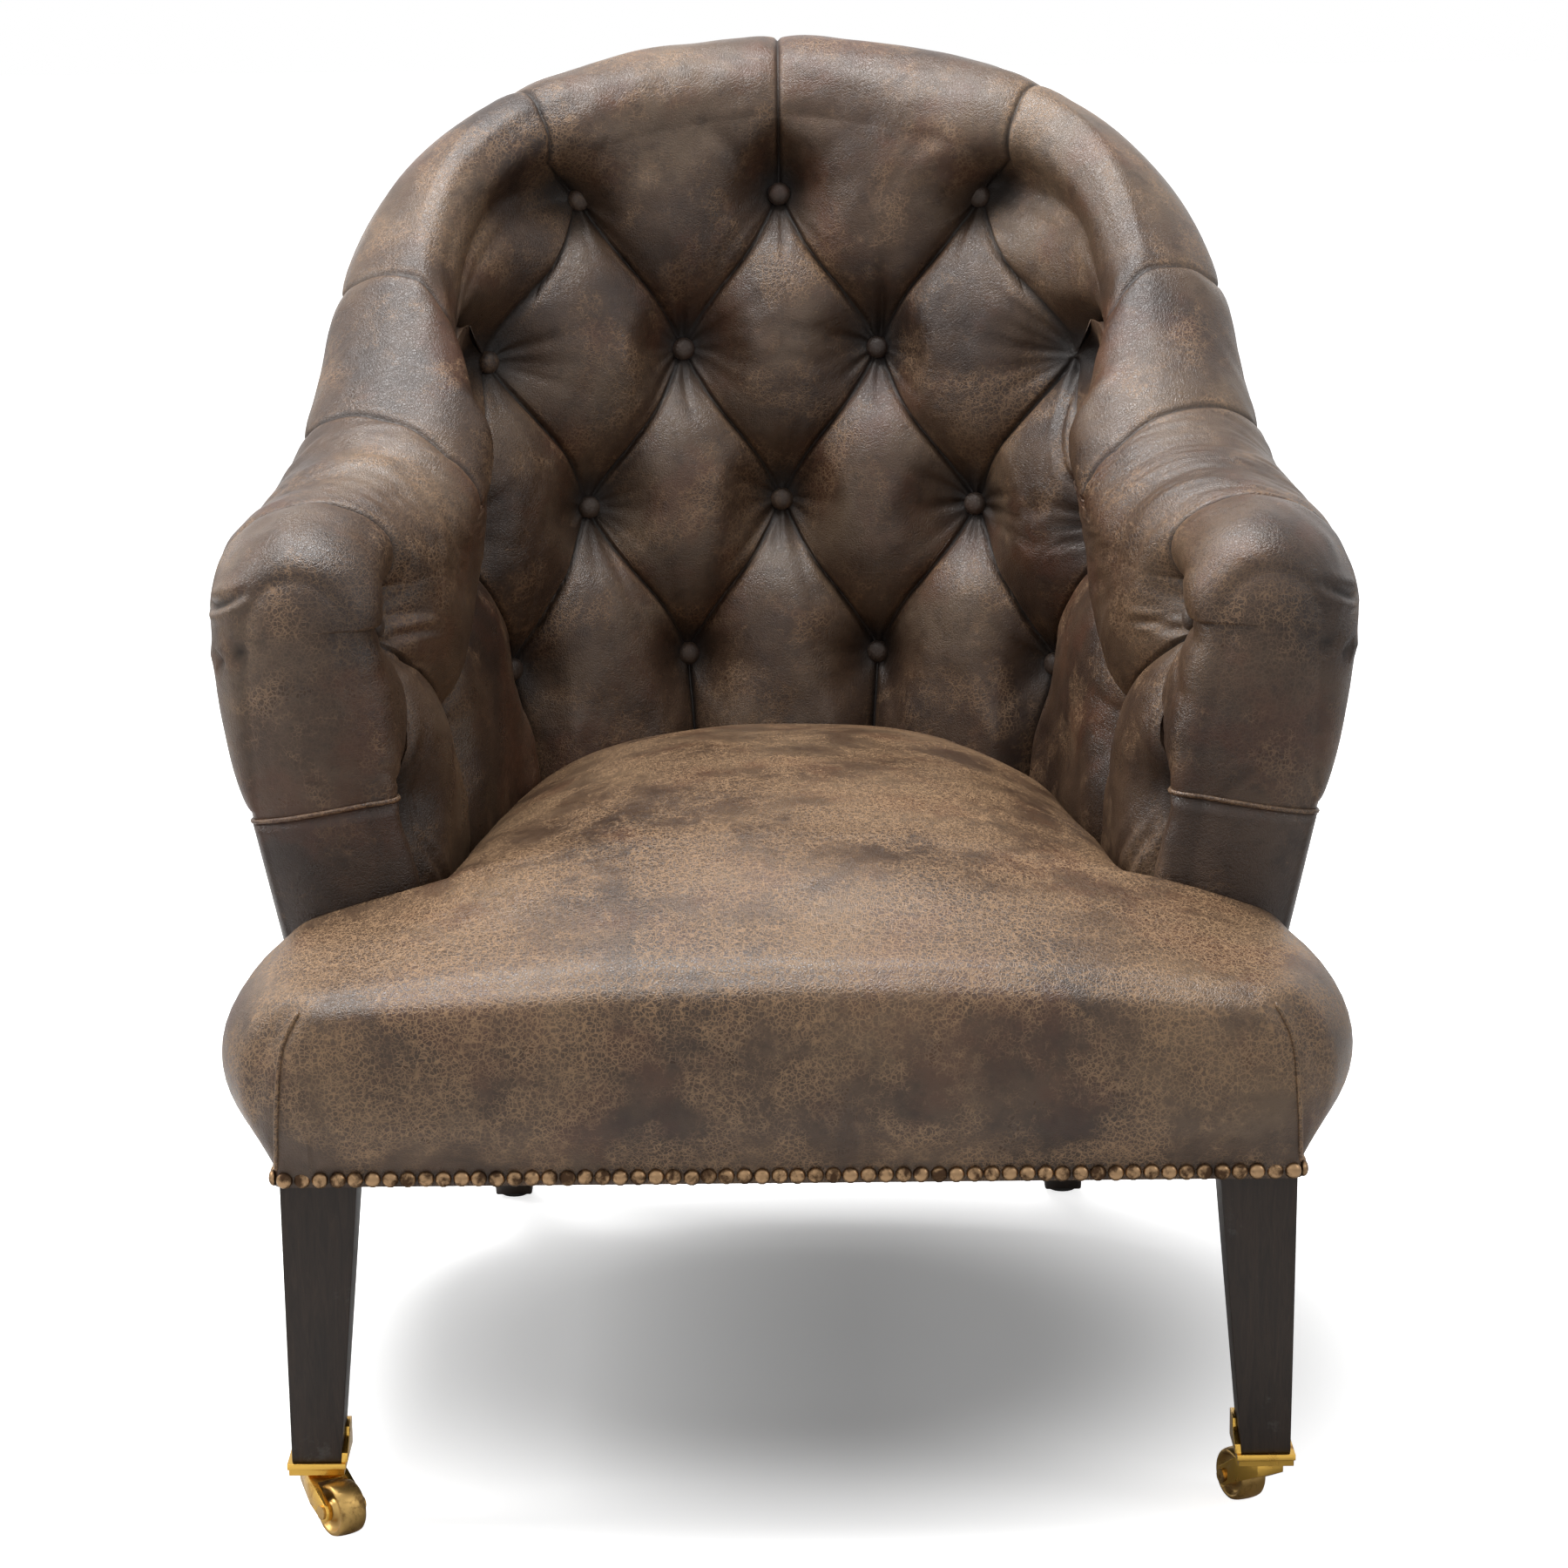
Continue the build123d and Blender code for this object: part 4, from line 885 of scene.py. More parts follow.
def capArm(points, o, z):
    # Closes each arm front with rings drawn in to the middle of the section and bulging forward.
    rows, cols = points.shape[:2]
    faces, extra, rings = [], [], {}
    for row, sign in ((0, -1), (rows - 1, 1)):
        place = sign * tub["armFront"]
        px, py, dx, dy = pathPlace(place)
        roll = rollShape(place, tub["frontRounding"])
        level, middle = float(roll["level"]), float(roll["middle"])
        off, height = o[row], z[row]
        order = np.argsort(height[-30:])
        outO = np.interp(height, height[-30:][order], off[-30:][order])
        inO = np.interp(height, height[:innerCount], off[:innerCount])
        share = np.clip((height - level + 90) / 65, 0, 1)
        mid = (outO + inO) / 2 * (1 - share) + middle * share
        spine = np.stack([px + dx * mid, py + dy * mid, np.minimum(height, level)], -1)
        inner = spine[:innerCount]
        nearest = np.abs(spine[:, None, 2] - inner[None, :, 2]).argmin(1)
        spine = np.where((height < level)[:, None], inner[nearest], spine)  # both sides meet in the same points
        last = np.arange(cols) + row * cols
        rings[sign] = []
        for share in tub["frontShares"]:
            new = points[row] * (1 - share) + spine * share
            new[:, 1] -= tub["frontBulge"] * (1 - (1 - share) ** 2.2)
            rings[sign].append(new)
            now = np.arange(cols) + rows * cols + len(extra)
            extra += new.tolist()
            faces += np.stack([last, np.roll(last, -1), np.roll(now, -1), now], -1).tolist()
            last = now
    return np.array(extra), faces, rings


# Short folds at the outer tip of each arm: outer end, inner end and depth.
armTipFolds = [((369, 560), (342, 575), 4.4), ((364, 527), (330, 544), 4.6), ((367, 597), (350, 605), 2.2),
               ((300, 452), (276, 430), 0.8)]


def tipPleats(points):
    drawn = np.zeros(len(points))
    for a, b, depth in armTipFolds:
        near = (points[:, 1] < 232) & (np.abs(points[:, 0]) > 250)
        dist, t, _ = distanceTo(np.abs(points[near, 0]), points[near, 2], a[0], a[1], b[0], b[1])
        shape = (1 - t) ** 0.5 * bell(np.maximum(points[near, 1] - 195, 0), 22)
        drawn[near] += shape * depth * (bell(dist, 2.6) - 0.5 * bell(dist - 6, 3.4))
    return drawn


def atHeights(section, heights):
    # Points of part of a ring at a row of heights.
    section = section[np.argsort(section[:, 2])]
    return np.stack([np.interp(heights, section[:, 2], section[:, k]) for k in (0, 1)] + [heights], 1)


def makeArmFacing(name, innerRings, outerRings, cap):
    # Plain panel low on the arm front, under a folded edge that crosses the front.
    sections = [r[:innerCount] for r in innerRings] + [r[:innerCount] for r in cap]
    sections += [r[-13:] for r in cap[-2::-1]] + [r[-13:] for r in outerRings[::-1]]
    belt = np.array([atHeights(part, np.array([420.0]))[0] for part in sections])
    run = np.concatenate([[0], np.cumsum(np.linalg.norm(np.diff(belt, axis=0), axis=1))])
    share = run / run[-1]
    top = tub["seamInner"] + (tub["seamOuter"] - tub["seamInner"]) * share + 2.5 * np.sin(share * 5)
    grid = np.array([atHeights(part, np.linspace(tub["bottom"], high, 14)) for part, high in zip(sections, top)])
    along, upright = np.gradient(grid, axis=0), np.gradient(grid, axis=1)
    normal = np.cross(along, upright)
    normal /= np.linalg.norm(normal, axis=2)[:, :, None] + 1e-9
    if normal[len(grid) // 2, 5, 1] > 0:
        normal = -normal
    points = np.concatenate([grid + normal * 1.2, (grid - normal)[:, ::-1]], 1)
    count, size = points.shape[:2]
    faces = gridFaces(count, size, closeAcross=True)
    faces += endCaps(count, size)
    facing = meshPiece("armFacing_" + name, points.reshape(-1, 3), faces, panelLeather)
    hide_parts("arm_facing_" + name)
    path = grid[:, -1] + normal[:, -1] * 0.9
    path[:, 2] += 1.2
    bead, beadFaces = tubeMesh(path, 1.6, 10)
    fold = meshPiece("armFold_" + name, bead, beadFaces, tuftedLeather)
    # the folded edge painted lighter: wear and painted highlight
    floatAttribute(fold, "rub", np.full(len(bead), 1.0))


def makeTub():
    points, paintedShade, rub, o, z, stations = buildTub()
    rows, cols = points.shape[:2]
    capPoints, capFaces, capRings = capArm(points, o, z)
    everything = np.concatenate([points.reshape(-1, 3), capPoints])
    cover = meshPiece("tuftedCover", everything, gridFaces(rows, cols, closeAcross=True) + capFaces, tuftedLeather)
    pleats = tipPleats(everything)
    normals = np.empty(len(everything) * 3, np.float32)
    cover.data.vertices.foreach_get("normal", normals)
    moved = toFrame(everything - normals.reshape(-1, 3) * pleats[:, None])
    cover.data.vertices.foreach_set("co", moved.ravel().astype(np.float32))
    cover.data.update()
    # arm fronts lighter near the top, from wear and a painted highlight
    capWearAndHighlight = 0.35 * bell(capPoints[:, 2] - 560, 90)
    # painted shade in the creases, and in the pleats at the arm tips
    dark = np.concatenate([paintedShade.ravel(), np.zeros(len(capPoints))]) + np.clip(pleats / 4, 0, 0.8)
    floatAttribute(cover, "paintedShade", np.clip(dark, 0, 1))
    floatAttribute(cover, "rub", np.concatenate([rub.ravel(), capWearAndHighlight]))
    weld(cover, 0.02)
    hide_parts("inside_back_pad", "inside_arm_pad_left", "inside_arm_pad_right")
    for sign, name in sides:
        picked = [k for k, (s, _) in enumerate(stations) if s * sign > 573][::sign]
        inner = [points[k] for k in picked]
        outer = [points[k] for k in picked if isFront(stations[k][0])]
        makeArmFacing(name, inner, outer, capRings[sign])
    print("tufted cover:", len(everything), "points")


makeTub()


# Covered buttons, pulled deep into the folds.
buttonSize = {
    "radius": 8.2, "height": 6.5, "turns": 20, "sink": 2.5,
    "sinks": {(2, 3, 1): 16, (3, 6, 1): 9, (3, 6, -1): 9, (4, 7, 1): 9, (4, 7, -1): 9},  # row, column and side
    "profile": [(1.0, -0.25), (1.03, 0.05), (1.0, 0.3), (0.92, 0.55), (0.78, 0.76), (0.58, 0.9), (0.34, 0.98),
                (0.12, 1)],
}


def makeButtons():
    rows = {}
    for row, place, column in buttonSpots():
        z = float(rowHeight(row, place))
        spot = narrowed(place, z)
        px, py, dx, dy = pathPlace(spot)
        off = float(buttonLine(spot, z))
        lean = tub["lean"] * float(alongPath("leans", place))
        inward = np.array([-dx, -dy, lean])
        inward /= np.linalg.norm(inward)
        sideways = np.array([dy, -dx, 0.0])
        sink = buttonSize["sinks"].get((row, column, 1 if place > 0 else -1), buttonSize["sink"])
        middle = np.array([px + dx * off, py + dy * off, z]) - inward * sink
        rows.setdefault(row, []).append((middle, inward, sideways))
    for row, spots in rows.items():
        points, faces = domes(spots, buttonSize["profile"], buttonSize["radius"], buttonSize["height"],
                              buttonSize["turns"])
        piece = meshPiece(f"buttonsRow{row}", points, faces, buttonLeather)
        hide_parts(f"buttons_row_{row}")
    print("buttons made")


makeButtons()


# Seat: a drum-tight cover, bulging at its sides and crowned between the arms.
seatSize = {
    "halfWidth": 355, "depth": 600, "crown": 428, "bandHalf": 318.5, "bandFoot": 230.6, "shoulder": 0.915,
    "places": [-0.02, -0.01, 0.007, 0.033, 0.1, 0.183, 0.283, 0.5, 0.717, 0.883, 1],
    "widths": [0.851, 0.89, 0.924, 0.963, 1, 0.992, 0.958, 0.958, 0.958, 0.958, 0.944],
    "feet": [0.834, 0.868, 0.896, 0.896, 0.896, 0.896, 0.896, 0.896, 0.896, 0.896, 0.896],
    "footHeights": [0.617, 0.584, 0.568, 0.568, 0.568, 0.568, 0.568, 0.568, 0.568, 0.568, 0.568],
    "middles": [0.682, 0.676, 0.673, 0.673, 0.673, 0.673, 0.68, 0.69, 0.69, 0.69, 0.69],
    "shoulders": [0.752, 0.79, 0.808, 0.818, 0.822, 0.832, 0.846, 0.869, 0.879, 0.865, 0.85],
    "crowns": [0.771, 0.818, 0.843, 0.867, 0.9, 0.939, 0.97, 1, 0.991, 0.958, 0.916],
    "armStart": 159, "edgeIn": 12, "hiddenFoot": 310, "faceBulge": 3.5,
    "seamAcross": [317.2, 315, 311, 300], "seamHeights": [241, 280, 320, 343],
    "dropPlaces": [159, 200, 260, 320, 400, 600], "drops": [20.9, 29, 40, 48, 57, 60],
    "dropPowers": [2.1, 2.5, 2.8, 2.8, 2.8, 2.8], "dropAt": 204,
    "nearArms": [118, 126, 134, 142, 149, 154, 158, 160.5, 164, 170, 178, 188, 200],  # depths of its closer sections
    "faceShares": (0.05, 0.11, 0.18, 0.26, 0.36, 0.47, 0.6, 0.74, 0.88, 1.0),  # front face, from its rim inwards
}


def tubLimit(y):
    # Half width between the puffs of the tub at a depth, at about the height of the seat.
    s = np.linspace(0, tub["armFront"], 600)
    px, py, dx, dy = pathPoint(s)
    o = buttonLine(s, 385) - tub["puff"] + 1
    x, at = px + dx * o, py + dy * o
    order = np.argsort(at)
    return float(np.interp(y, at[order], x[order]))


def tubBack():
    return float(tub["pathBack"] + buttonLine(0.0, 400) - tub["puff"] + 1)


def arcThrough(a, b, c, count):
    # Points on the circle through three points, without the last.
    a, b, c = [np.array(p, float) for p in (a, b, c)]
    d = 2 * (a[0] * (b[1] - c[1]) + b[0] * (c[1] - a[1]) + c[0] * (a[1] - b[1]))
    aa, bb, cc = a @ a, b @ b, c @ c
    m = np.array([(aa * (b[1] - c[1]) + bb * (c[1] - a[1]) + cc * (a[1] - b[1])) / d,
                  (aa * (c[0] - b[0]) + bb * (a[0] - c[0]) + cc * (b[0] - a[0])) / d])
    start, end = [math.atan2(p[1] - m[1], p[0] - m[0]) for p in (a, c)]
    turns = np.linspace(start, end, count + 1)[:-1]
    return m + np.linalg.norm(a - m) * np.stack([np.cos(turns), np.sin(turns)], 1)


def smoothedLine(line, split, blur):
    # Points along a line with its corners rounded: 30 up to a half width, and 36 from there to the middle.
    gaps = np.hypot(*np.diff(line, axis=0).T)
    run = np.concatenate([[0], np.cumsum(gaps)])
    fine = np.linspace(0, run[-1], 400)
    dense = np.stack([np.interp(fine, run, line[:, 0]), np.interp(fine, run, line[:, 1])], 1)
    width = max(int(blur / (run[-1] / 400) * 1.5), 1)
    window = np.hanning(2 * width + 3)[1:-1]
    window /= window.sum()
    before = 2 * dense[0] - dense[1:width + 1][::-1]
    after = (dense[-width - 1:-1] * np.array([-1, 1]))[::-1]
    padded = np.concatenate([before, dense, after])
    smooth = np.stack([np.convolve(padded[:, k], window, "valid") for k in (0, 1)], 1)[:400]
    smooth[-1, 0] = 0
    cut = 399 - int(np.argmax(smooth[::-1, 0] > split))
    at = np.linspace(0, cut, 31)[:-1]
    first = np.stack([np.interp(at, np.arange(400), smooth[:, k]) for k in (0, 1)], 1)
    xs = np.linspace(smooth[cut, 0], 0, 36)
    second = np.stack([xs, np.interp(xs, smooth[cut:, 0][::-1], smooth[cut:, 1][::-1])], 1)
    return np.concatenate([first, second])


def seatSection(step, y=None):
    # Right half of the outline across the seat, from its foot up its side to the middle of its top.
    q = {k: float(smoothCurve(seatSize[k], step)) for k in
         ("widths", "feet", "footHeights", "middles", "shoulders", "crowns")}
    width = seatSize["halfWidth"] * q["widths"]
    foot = (seatSize["halfWidth"] * q["feet"], seatSize["crown"] * q["footHeights"])
    shoulder = (width * seatSize["shoulder"], seatSize["crown"] * q["shoulders"])
    crown = seatSize["crown"] * q["crowns"]
    if y is not None and y > seatSize["armStart"]:
        limit = tubLimit(y) if y < tubBack() - 4 else 30.0
        drop = float(np.interp(y, seatSize["dropPlaces"], seatSize["drops"]))
        power = float(np.interp(y, seatSize["dropPlaces"], seatSize["dropPowers"]))
        xs = np.linspace(limit - seatSize["edgeIn"], 0, 30)
        edge = crown - drop * (limit / seatSize["dropAt"]) ** power
        side = [(limit, seatSize["hiddenFoot"]), (limit, (edge + seatSize["hiddenFoot"]) / 2), (limit, edge - 16),
                (limit - 3, edge - 6)]
        top = np.stack([xs, crown - drop * (xs / seatSize["dropAt"]) ** power], 1)
    else:
        side = arcThrough(foot, (width, seatSize["crown"] * q["middles"]), shoulder, 14)
        xs = np.linspace(shoulder[0], 0, 40)
        top = np.stack([xs, crown - (crown - shoulder[1]) * (xs / shoulder[0]) ** 2.1], 1)
    limit = tubLimit(seatSize["armStart"]) if y is None or y <= seatSize["armStart"] else limit
    return smoothedLine(np.concatenate([np.array(side), top]), limit - seatSize["edgeIn"], 9.0)


def seatStations():
    # Steps of the tables, and the depth where a station has one of its own.
    depths = np.array(seatSize["places"]) * seatSize["depth"]
    stations = [(i, None) for i in list(np.arange(0, 3, 0.14)) + list(np.arange(3, 5, 0.12))]
    ys = seatSize["nearArms"] + list(np.arange(214, tubBack() - 12, 13)) + [tubBack() - 8, tubBack() - 4.5]
    return stations + [(float(np.interp(y, depths, range(len(depths)))), float(y)) for y in ys]


def bandBend(height, depth, reach):
    # Depth of the front face, which turns back to the rail at its foot.
    share = np.clip((height - seatSize["bandFoot"] - 10) / reach, 0, 1)
    return depth * share ** 0.8


def makeSeat():
    rows = []
    for step, y in seatStations():
        half = seatSection(step, y)
        at = float(smoothCurve(seatSize["places"], step)) * seatSize["depth"] if y is None else y
        footX = half[0][0]
        if y is not None and y > seatSize["armStart"]:
            tuck = [(footX - 30, seatSize["hiddenFoot"]), (footX - 8, seatSize["hiddenFoot"])]
        else:
            bandX = min(seatSize["bandHalf"], footX + 0.6)
            tuck = [(bandX - 3, seatSize["bandFoot"]), (bandX, seatSize["bandFoot"] + 0.5)]
        half = np.concatenate([np.array(tuck), half])
        full = np.concatenate([half, np.stack([-half[-2::-1, 0], half[-2::-1, 1]], 1)])
        depth = bandBend(full[:, 1], at, 28) if at < 0 else np.full(len(full), at)
        rows.append(np.stack([full[:, 0], depth, full[:, 1]], 1))
    rows = np.array(rows)
    count, across = rows.shape[:2]
    bottom = np.linspace(rows[0][-1], rows[0][0], 62)[1:-1]
    faces, extra = gridFaces(count, across), bottom.tolist()
    first = np.concatenate([rows[0], bottom])
    last = np.concatenate([np.arange(across), np.arange(len(bottom)) + count * across])
    for share in seatSize["faceShares"]:
        spine = np.stack([np.clip(first[:, 0], -268, 268), first[:, 1], np.full(len(first), 292.0)], 1)
        new = first * (1 - share) + spine * share
        bulge = seatSize["places"][0] * seatSize["depth"] - seatSize["faceBulge"] * (1 - (1 - share) ** 2)
        new[:, 1] = bandBend(new[:, 2], bulge, 30)
        now = np.arange(len(first)) + count * across + len(extra)
        extra += new.tolist()
        faces += np.stack([last, np.roll(last, -1), np.roll(now, -1), now], -1).tolist()
        last = now
    points = np.concatenate([rows.reshape(-1, 3), np.array(extra)])
    swell = softSwell(points[:, 0] + points[:, 2] * 0.7, points[:, 1] + points[:, 2] * 0.5, 130, 11) * 0.9
    points[:, 2] += swell * climb(points[:, 2], 300, 60)
    seat = meshPiece("seatCover", points, faces, seatLeather)
    # front edge of the seat painted lighter: wear and a painted highlight band
    rub = 0.5 * bell(points[:, 2] - 372, 26) * np.exp(-np.maximum(points[:, 1] - 60, 0) / 120)
    floatAttribute(seat, "rub", rub)
    # painted shade, darker towards the foot of the front face
    floatAttribute(seat, "paintedShade", np.clip((250 - points[:, 2]) / 14, 0, 1) * 0.4)
    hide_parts("seat_pad")
    makeCornerSeams(seat)
    print("seat:", len(points), "points")


def makeCornerSeams(seat):
    # Sewn edge down each front corner, laid on the cover where a straight line meets it.
    bpy.context.view_layer.update()
    for sign, name in sides:
        path = []
        for x, z in zip(smoothCurve(seatSize["seamAcross"], np.linspace(0, 3, 26)),
                        smoothCurve(seatSize["seamHeights"], np.linspace(0, 3, 26))):
            start = Vector(toFrame([[sign * x, -250, z]])[0])
            hit, spot, _, _ = seat.ray_cast(start, Vector((0, 1, 0)))
            if hit:
                path.append([spot.x / milli, spot.y / milli + drawnMiddle - 0.4, spot.z / milli])
        bead, faces = tubeMesh(path, 1.5)
        seam = meshPiece("seatSeam_" + name, bead, faces, seatLeather)
        # the seams painted lighter: wear and painted highlight
        floatAttribute(seam, "rub", np.full(len(bead), 0.8))


makeSeat()


# Row of domed nails along the foot of the leather.
nailSize = {
    "radius": 5.2, "height": 3.5, "pitch": 10.95, "front": 58, "side": 15, "level": 235.5, "turns": 14,
    "profile": [(1.0, -0.1), (1.0, 0.16), (0.94, 0.42), (0.8, 0.66), (0.58, 0.86), (0.3, 0.97), (0.08, 1)],
}


def makeNails():
    spots = [((i - (nailSize["front"] - 1) / 2) * nailSize["pitch"], 0.0, (0, -1)) for i in range(nailSize["front"])]
    for i in range(nailSize["side"]):
        for sign in (-1, 1):
            spots.append((sign * seatSize["bandHalf"], (i + 0.5) * nailSize["pitch"], (sign, 0)))
    source = np.random.default_rng(4)
    heads, tone = [], []
    for x, y, (dx, dy) in spots:
        outward = np.array([dx, dy, 0.0]) + source.normal(0, 0.02, 3)
        outward /= np.linalg.norm(outward)
        sideways = np.cross([0, 0, 1.0], outward)
        sideways /= np.linalg.norm(sideways)
        middle = np.array([x, y, nailSize["level"]]) + source.normal(0, 0.16, 3) + outward * 0.4
        heads.append((middle, outward, sideways))
        tone += [source.uniform(0, 1)] * (len(nailSize["profile"]) * nailSize["turns"])
    points, faces = domes(heads, nailSize["profile"], nailSize["radius"], nailSize["height"], nailSize["turns"])
    nails = meshPiece("nailRow", points, faces, agedBronze)
    floatAttribute(nails, "tone", tone)
    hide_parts("nails")
    print("nails:", len(spots))


makeNails()


def softEdged(nodeName, pieceName, width, material, body="chair", segments=2):
    # A solid's own shape with its edges eased, as a piece that stands for it.
    work = bmesh.new()
    work.from_mesh(nodes[nodeName].data)
    bmesh.ops.remove_doubles(work, verts=work.verts, dist=0.00002)
    bmesh.ops.dissolve_limit(work, angle_limit=math.radians(2), verts=work.verts, edges=work.edges)
    sharp = [e for e in work.edges if len(e.link_faces) == 2 and e.calc_face_angle(0) > math.radians(32)]
    bmesh.ops.bevel(work, geom=sharp, offset=width * milli, segments=segments, profile=0.5, affect="EDGES",
                    clamp_overlap=True)
    mesh = bpy.data.meshes.new(pieceName)
    work.to_mesh(mesh)
    work.free()
    mesh.materials.append(material)
    mesh.polygons.foreach_set("use_smooth", [True] * len(mesh.polygons))
    mesh.set_sharp_from_angle(angle=math.radians(34))
    piece = bpy.data.objects.new(pieceName, mesh)
    bpy.context.scene.collection.objects.link(piece)
    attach(piece, body)
    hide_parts(nodeName)
    return piece


# Legs and castors: a socket and fork with eased edges, and a turned wheel.
wheelSize = {
    "radius": 17.3, "half": 9, "hubHalf": 9.5, "bore": 3.1, "trail": 27, "turns": 72,
    "legX": 299.5, "legY": 29, "swivels": (-55, 115.4),
    "face": [(5.2, 9.5), (6.0, 9.1), (6.4, 8.2), (7.2, 6.2), (8.2, 5.7), (10.6, 5.6), (12.0, 6.1), (13.2, 7.8),
             (13.9, 8.7), (14.6, 9), (15.6, 8.95), (16.3, 8.3), (16.8, 6.8), (17.15, 4.4), (17.3, 2)],
}


def makeLegs():
    outline = [(wheelSize["bore"], wheelSize["hubHalf"])] + wheelSize["face"]
    outline = outline + [(a, -b) for a, b in reversed(outline)]
    up = np.array([0, 0, 1.0])
    for (sign, name), swivel in zip(sides, wheelSize["swivels"]):
        turn = math.radians(swivel)
        forward = np.array([math.cos(turn), math.sin(turn), 0])
        across = np.array([-math.sin(turn), math.cos(turn), 0])
        middle = np.array([sign * wheelSize["legX"], wheelSize["legY"], wheelSize["radius"]])
        middle += forward * wheelSize["trail"]
        points = []
        for k in range(wheelSize["turns"]):
            a = 2 * math.pi * k / wheelSize["turns"]
            rim = forward * math.cos(a) + up * math.sin(a)
            points += [middle + rim * out + across * off for out, off in outline]
        faces = gridFaces(wheelSize["turns"], len(outline), closeAcross=True, closeAlong=True)
        wheel = meshPiece("castorWheel_" + name, points, faces, wornBrass, body="castor_wheel_body_" + name)
        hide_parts("castor_wheel_" + name)
        softEdged("castor_horn_" + name, "castorFork_" + name, 0.8, polishedBrass, "castor_swivel_" + name)
        softEdged("castor_socket_" + name, "castorSocket_" + name, 0.6, polishedBrass)
        for leg, ease in (("front", 1.2), ("rear", 1.6)):
            softEdged(leg + "_leg_" + name, leg + "Leg_" + name, ease, stainedWood, segments=3)
    print("legs and castors made")


makeLegs()


# Outside panels: leather stretched from the rails up to the roll.
panelSize = {"thickness": 5, "foot": 230.3, "railTop": 300, "joint": 0.3, "split": 257.25, "bow": 2.2}


def panelRing(s):
    roll = rollShape(s)
    ramp = climb(abs(s), 560, 24)
    corner = climb(abs(s), frontStart, tub["frontRounding"])
    tucked = 0.6 * ramp + tub["frontRounding"] * (1 - math.cos(math.asin(corner))) * 0.3
    low, top = frameReach(s) + panelSize["joint"], float(roll["panelTop"]) - panelSize["joint"]
    panel, t = float(roll["panel"]), panelSize["thickness"]
    heights = np.concatenate([np.linspace(panelSize["foot"] + 1, panelSize["railTop"], 8)[:-1],
                              np.linspace(panelSize["railTop"], top - 1, 20)])
    share = climb(heights, panelSize["railTop"], top - panelSize["railTop"])
    bow = panelSize["bow"] * (1 - ramp) * np.sin(np.pi * share) ** 0.8
    outer = low + t + (panel - low - t) * share + bow - tucked
    inner = low + (panel - t - low) * share - tucked
    o = np.concatenate([[low - tucked, low + t - 1 - tucked], outer, [panel - 1 - tucked, panel - t - tucked],
                        inner[::-1]])
    z = np.concatenate([[panelSize["foot"]] * 2, heights, [top] * 2, heights[::-1]])
    px, py, dx, dy = pathPlace(s)
    return np.stack([px + dx * o, py + dy * o, z], 1)


def makePanels():
    spans = [("outsideBack", "outside_back_panel", np.linspace(-256.6, 256.6, 90))]
    for sign, name in sides:
        places = sign * np.concatenate([np.linspace(257.9, 582, 50), [584, 588, 592, 596, 600, 603, 606]])
        spans.append(("outsideArm_" + name, "outside_arm_panel_" + name, places))
    for pieceName, nodeName, places in spans:
        rings = [panelRing(s) for s in places]
        size = len(rings[0])
        faces = gridFaces(len(rings), size, closeAcross=True)
        faces += endCaps(len(rings), size)
        piece = meshPiece(pieceName, np.concatenate(rings), faces, panelLeather)
        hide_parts(nodeName)
    for sign, name in sides:
        bead, faces = tubeMesh(panelRing(sign * panelSize["split"])[2:29], 1.9)
        meshPiece("backSeam_" + name, bead, faces, panelLeather)
    softEdged("seat_foam", "foamCore", 6, seatFoam, segments=3)
    print("outside panels made")


makePanels()


# Leather carried round each side rail between the seat cover and the arm.
wrapSize = {"inner": 316.3, "outer": 334, "front": 160.5, "back": 179, "foot": 230.6, "top": 300, "ease": 3}


def makeRailWraps():
    size, ease = wrapSize, wrapSize["ease"]
    outline = [(size["inner"], size["front"]), (size["outer"] - ease, size["front"]),
               (size["outer"], size["front"] + ease), (size["outer"], size["back"] - ease),
               (size["outer"] - ease, size["back"]), (size["inner"], size["back"])]
    count = len(outline)
    for sign, name in sides:
        points = [(sign * x, y, z) for z in (size["foot"], size["top"]) for x, y in outline]
        faces = gridFaces(2, count, closeAcross=True) + endCaps(2, count)
        meshPiece("railWrap_" + name, points, faces, panelLeather, smooth=False)


makeRailWraps()


# Floor, light and camera.
studio = {
    "eye": (-0.0005, -3.0483, 1.0837), "pitchDown": 0.22, "roll": -0.0097, "lens": 104.0,
    "floorColour": (0.8, 0.8, 0.8, 1), "floorGlow": 0.16, "floorFade": (0.16, 0.56), "floorHalf": 14, "ambient": 0.19,
    "lamps": [  # name, place, aim, width and power
        ("overhead", (-0.35, 0.12, 2.6), (0, 0, 0.4), 1.3, 76),
        ("front", (-1.3, -3.1, 1.8), (0, 0, 0.45), 1.5, 4),
        ("left", (-2.2, -0.1, 2.0), (0, 0, 0.6), 1.0, 36),
        ("right", (2.3, -1.3, 1.8), (0, 0, 0.5), 1.0, 8),
    ],
}


def lookAt(eye, aim):
    return (Vector(aim) - Vector(eye)).to_track_quat("-Z", "Y").to_matrix().to_4x4()


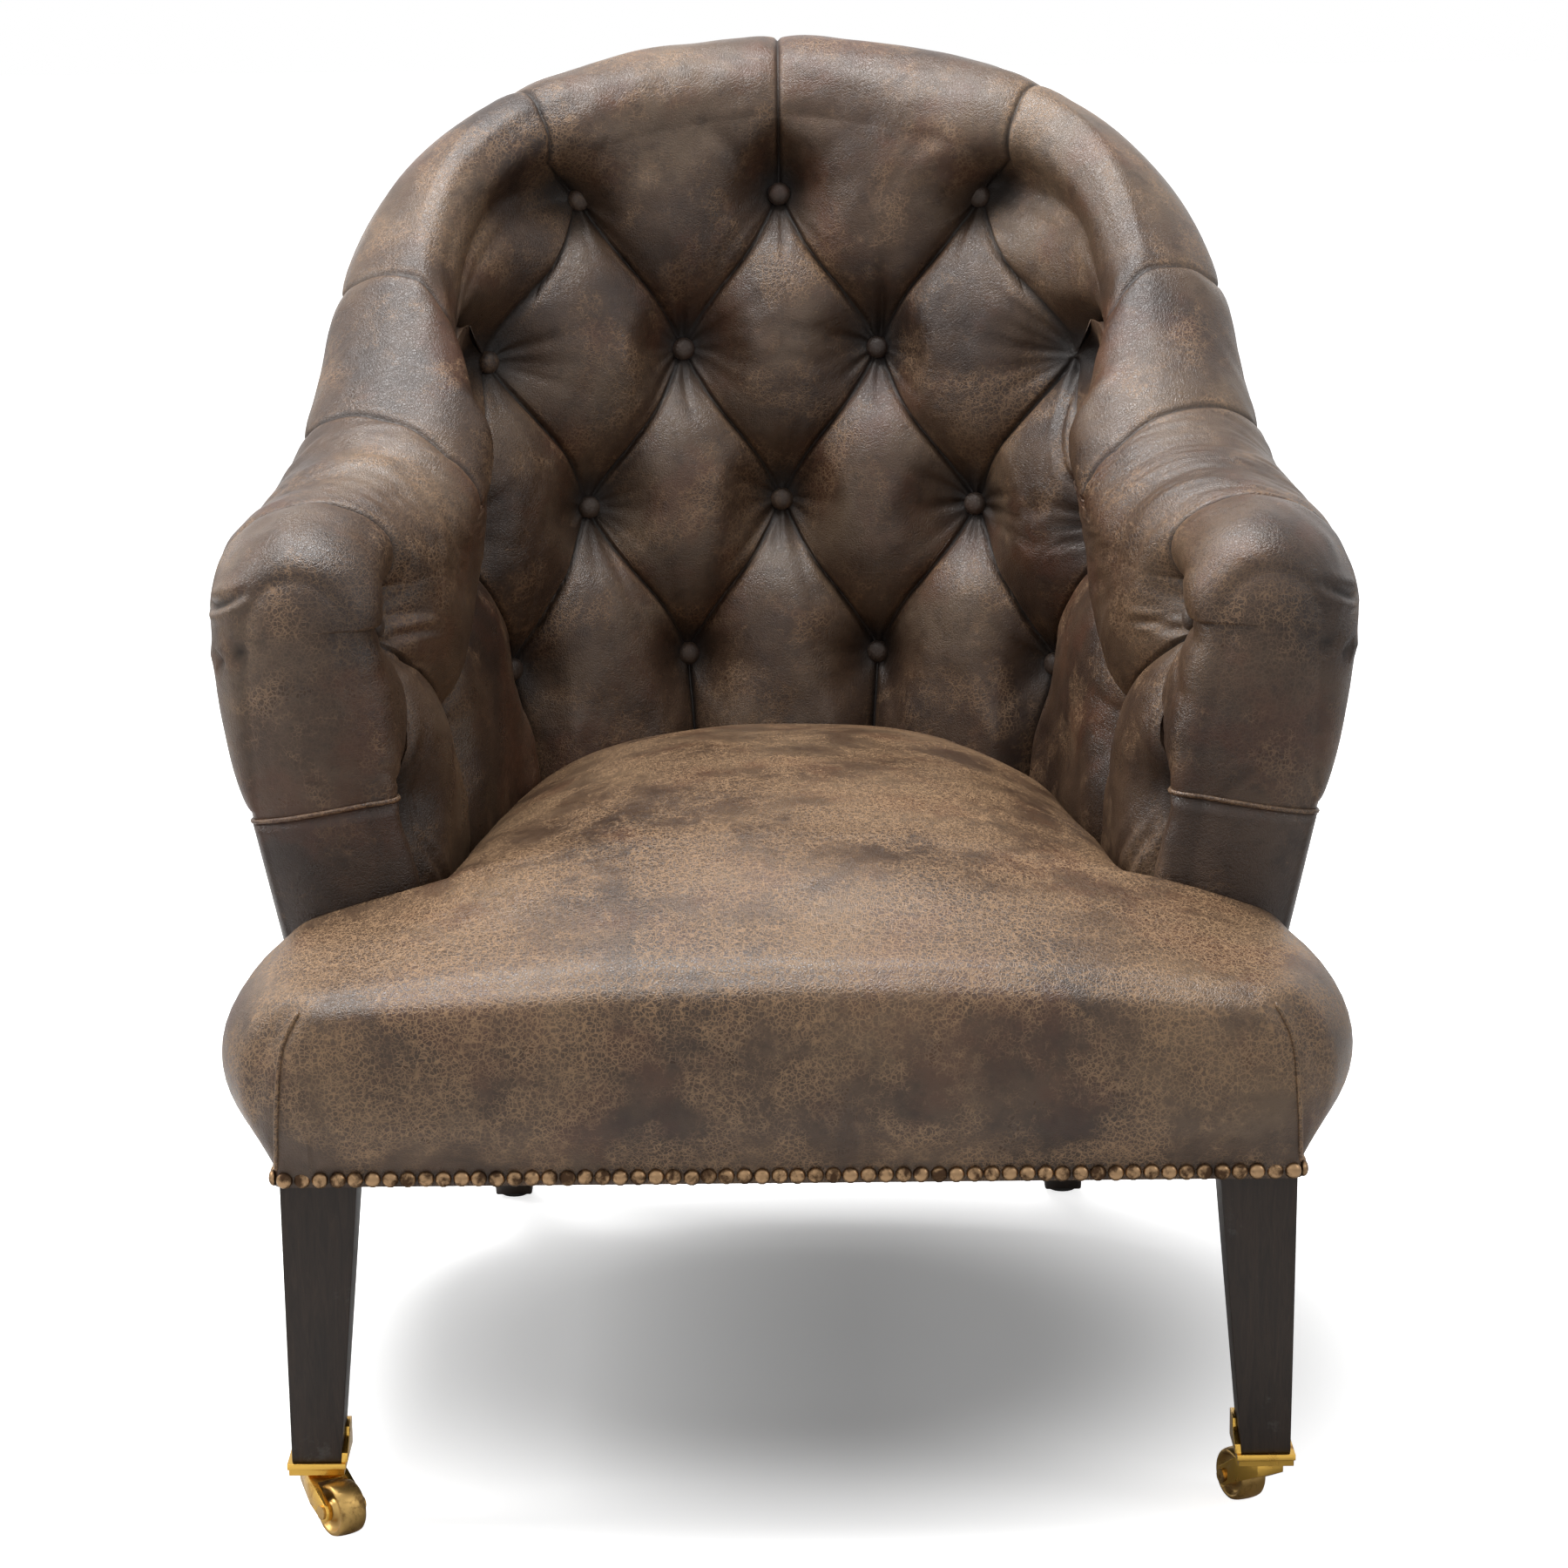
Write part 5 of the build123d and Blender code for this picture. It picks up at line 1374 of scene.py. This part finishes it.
def addStudio():
    scene = bpy.context.scene
    camera = bpy.data.cameras.new("camera")
    camera.lens, camera.sensor_width, camera.sensor_fit = studio["lens"], 36, "HORIZONTAL"
    camera.clip_end = 80
    cameraObject = bpy.data.objects.new("camera", camera)
    turn = Matrix.Rotation(math.pi / 2 - studio["pitchDown"], 4, "X") @ Matrix.Rotation(studio["roll"], 4, "Z")
    cameraObject.matrix_world = Matrix.Translation(studio["eye"]) @ turn
    scene.collection.objects.link(cameraObject)
    scene.camera = cameraObject
    for name, place, aim, width, power in studio["lamps"]:
        lamp = bpy.data.lights.new(name, "AREA")
        lamp.size, lamp.energy = width, power
        lampObject = bpy.data.objects.new(name, lamp)
        lampObject.matrix_world = Matrix.Translation(place) @ lookAt(place, aim)
        scene.collection.objects.link(lampObject)
    world = bpy.data.worlds.new("studioWorld")
    scene.world = world
    world.use_nodes = True
    tree = world.node_tree
    backdrop = tree.nodes["Background"]
    backdrop.inputs["Color"].default_value = (1, 1, 1, 1)
    path = tree.nodes.new("ShaderNodeLightPath")
    white = calc(tree, "MAXIMUM", path.outputs["Is Camera Ray"], path.outputs["Is Glossy Ray"])
    white = calc(tree, "MAXIMUM", white, path.outputs["Is Transmission Ray"])
    low = studio["ambient"]
    tree.links.new(calc(tree, "MULTIPLY_ADD", white, 1 - low, low), backdrop.inputs["Strength"])
    scene.view_settings.view_transform = "Standard"


def addFloor():
    material, tree, shader = newMaterial("paleFloor")
    shader.inputs["Base Color"].default_value = studio["floorColour"]
    shader.inputs["Roughness"].default_value = 0.9
    shader.inputs["Specular IOR Level"].default_value = 0.1
    shader.inputs["Emission Color"].default_value = (1, 1, 1, 1)
    path = tree.nodes.new("ShaderNodeLightPath")
    length = addNode(tree, "ShaderNodeVectorMath", operation="LENGTH")
    tree.links.new(objectPlace(tree), length.inputs[0])
    far = fade(tree, length.outputs["Value"], *studio["floorFade"])
    glow = calc(tree, "MULTIPLY_ADD", far, 1.0, studio["floorGlow"])
    tree.links.new(calc(tree, "MULTIPLY", glow, path.outputs["Is Camera Ray"]), shader.inputs["Emission Strength"])
    mesh = bpy.data.meshes.new("floor")
    size = studio["floorHalf"]
    mesh.from_pydata([(-size, -size, 0), (size, -size, 0), (size, size, 0), (-size, size, 0)], [], [(0, 1, 2, 3)])
    mesh.materials.append(material)
    floor = bpy.data.objects.new("floor", mesh)
    bpy.context.scene.collection.objects.link(floor)


addStudio()
addFloor()
print("studio set")
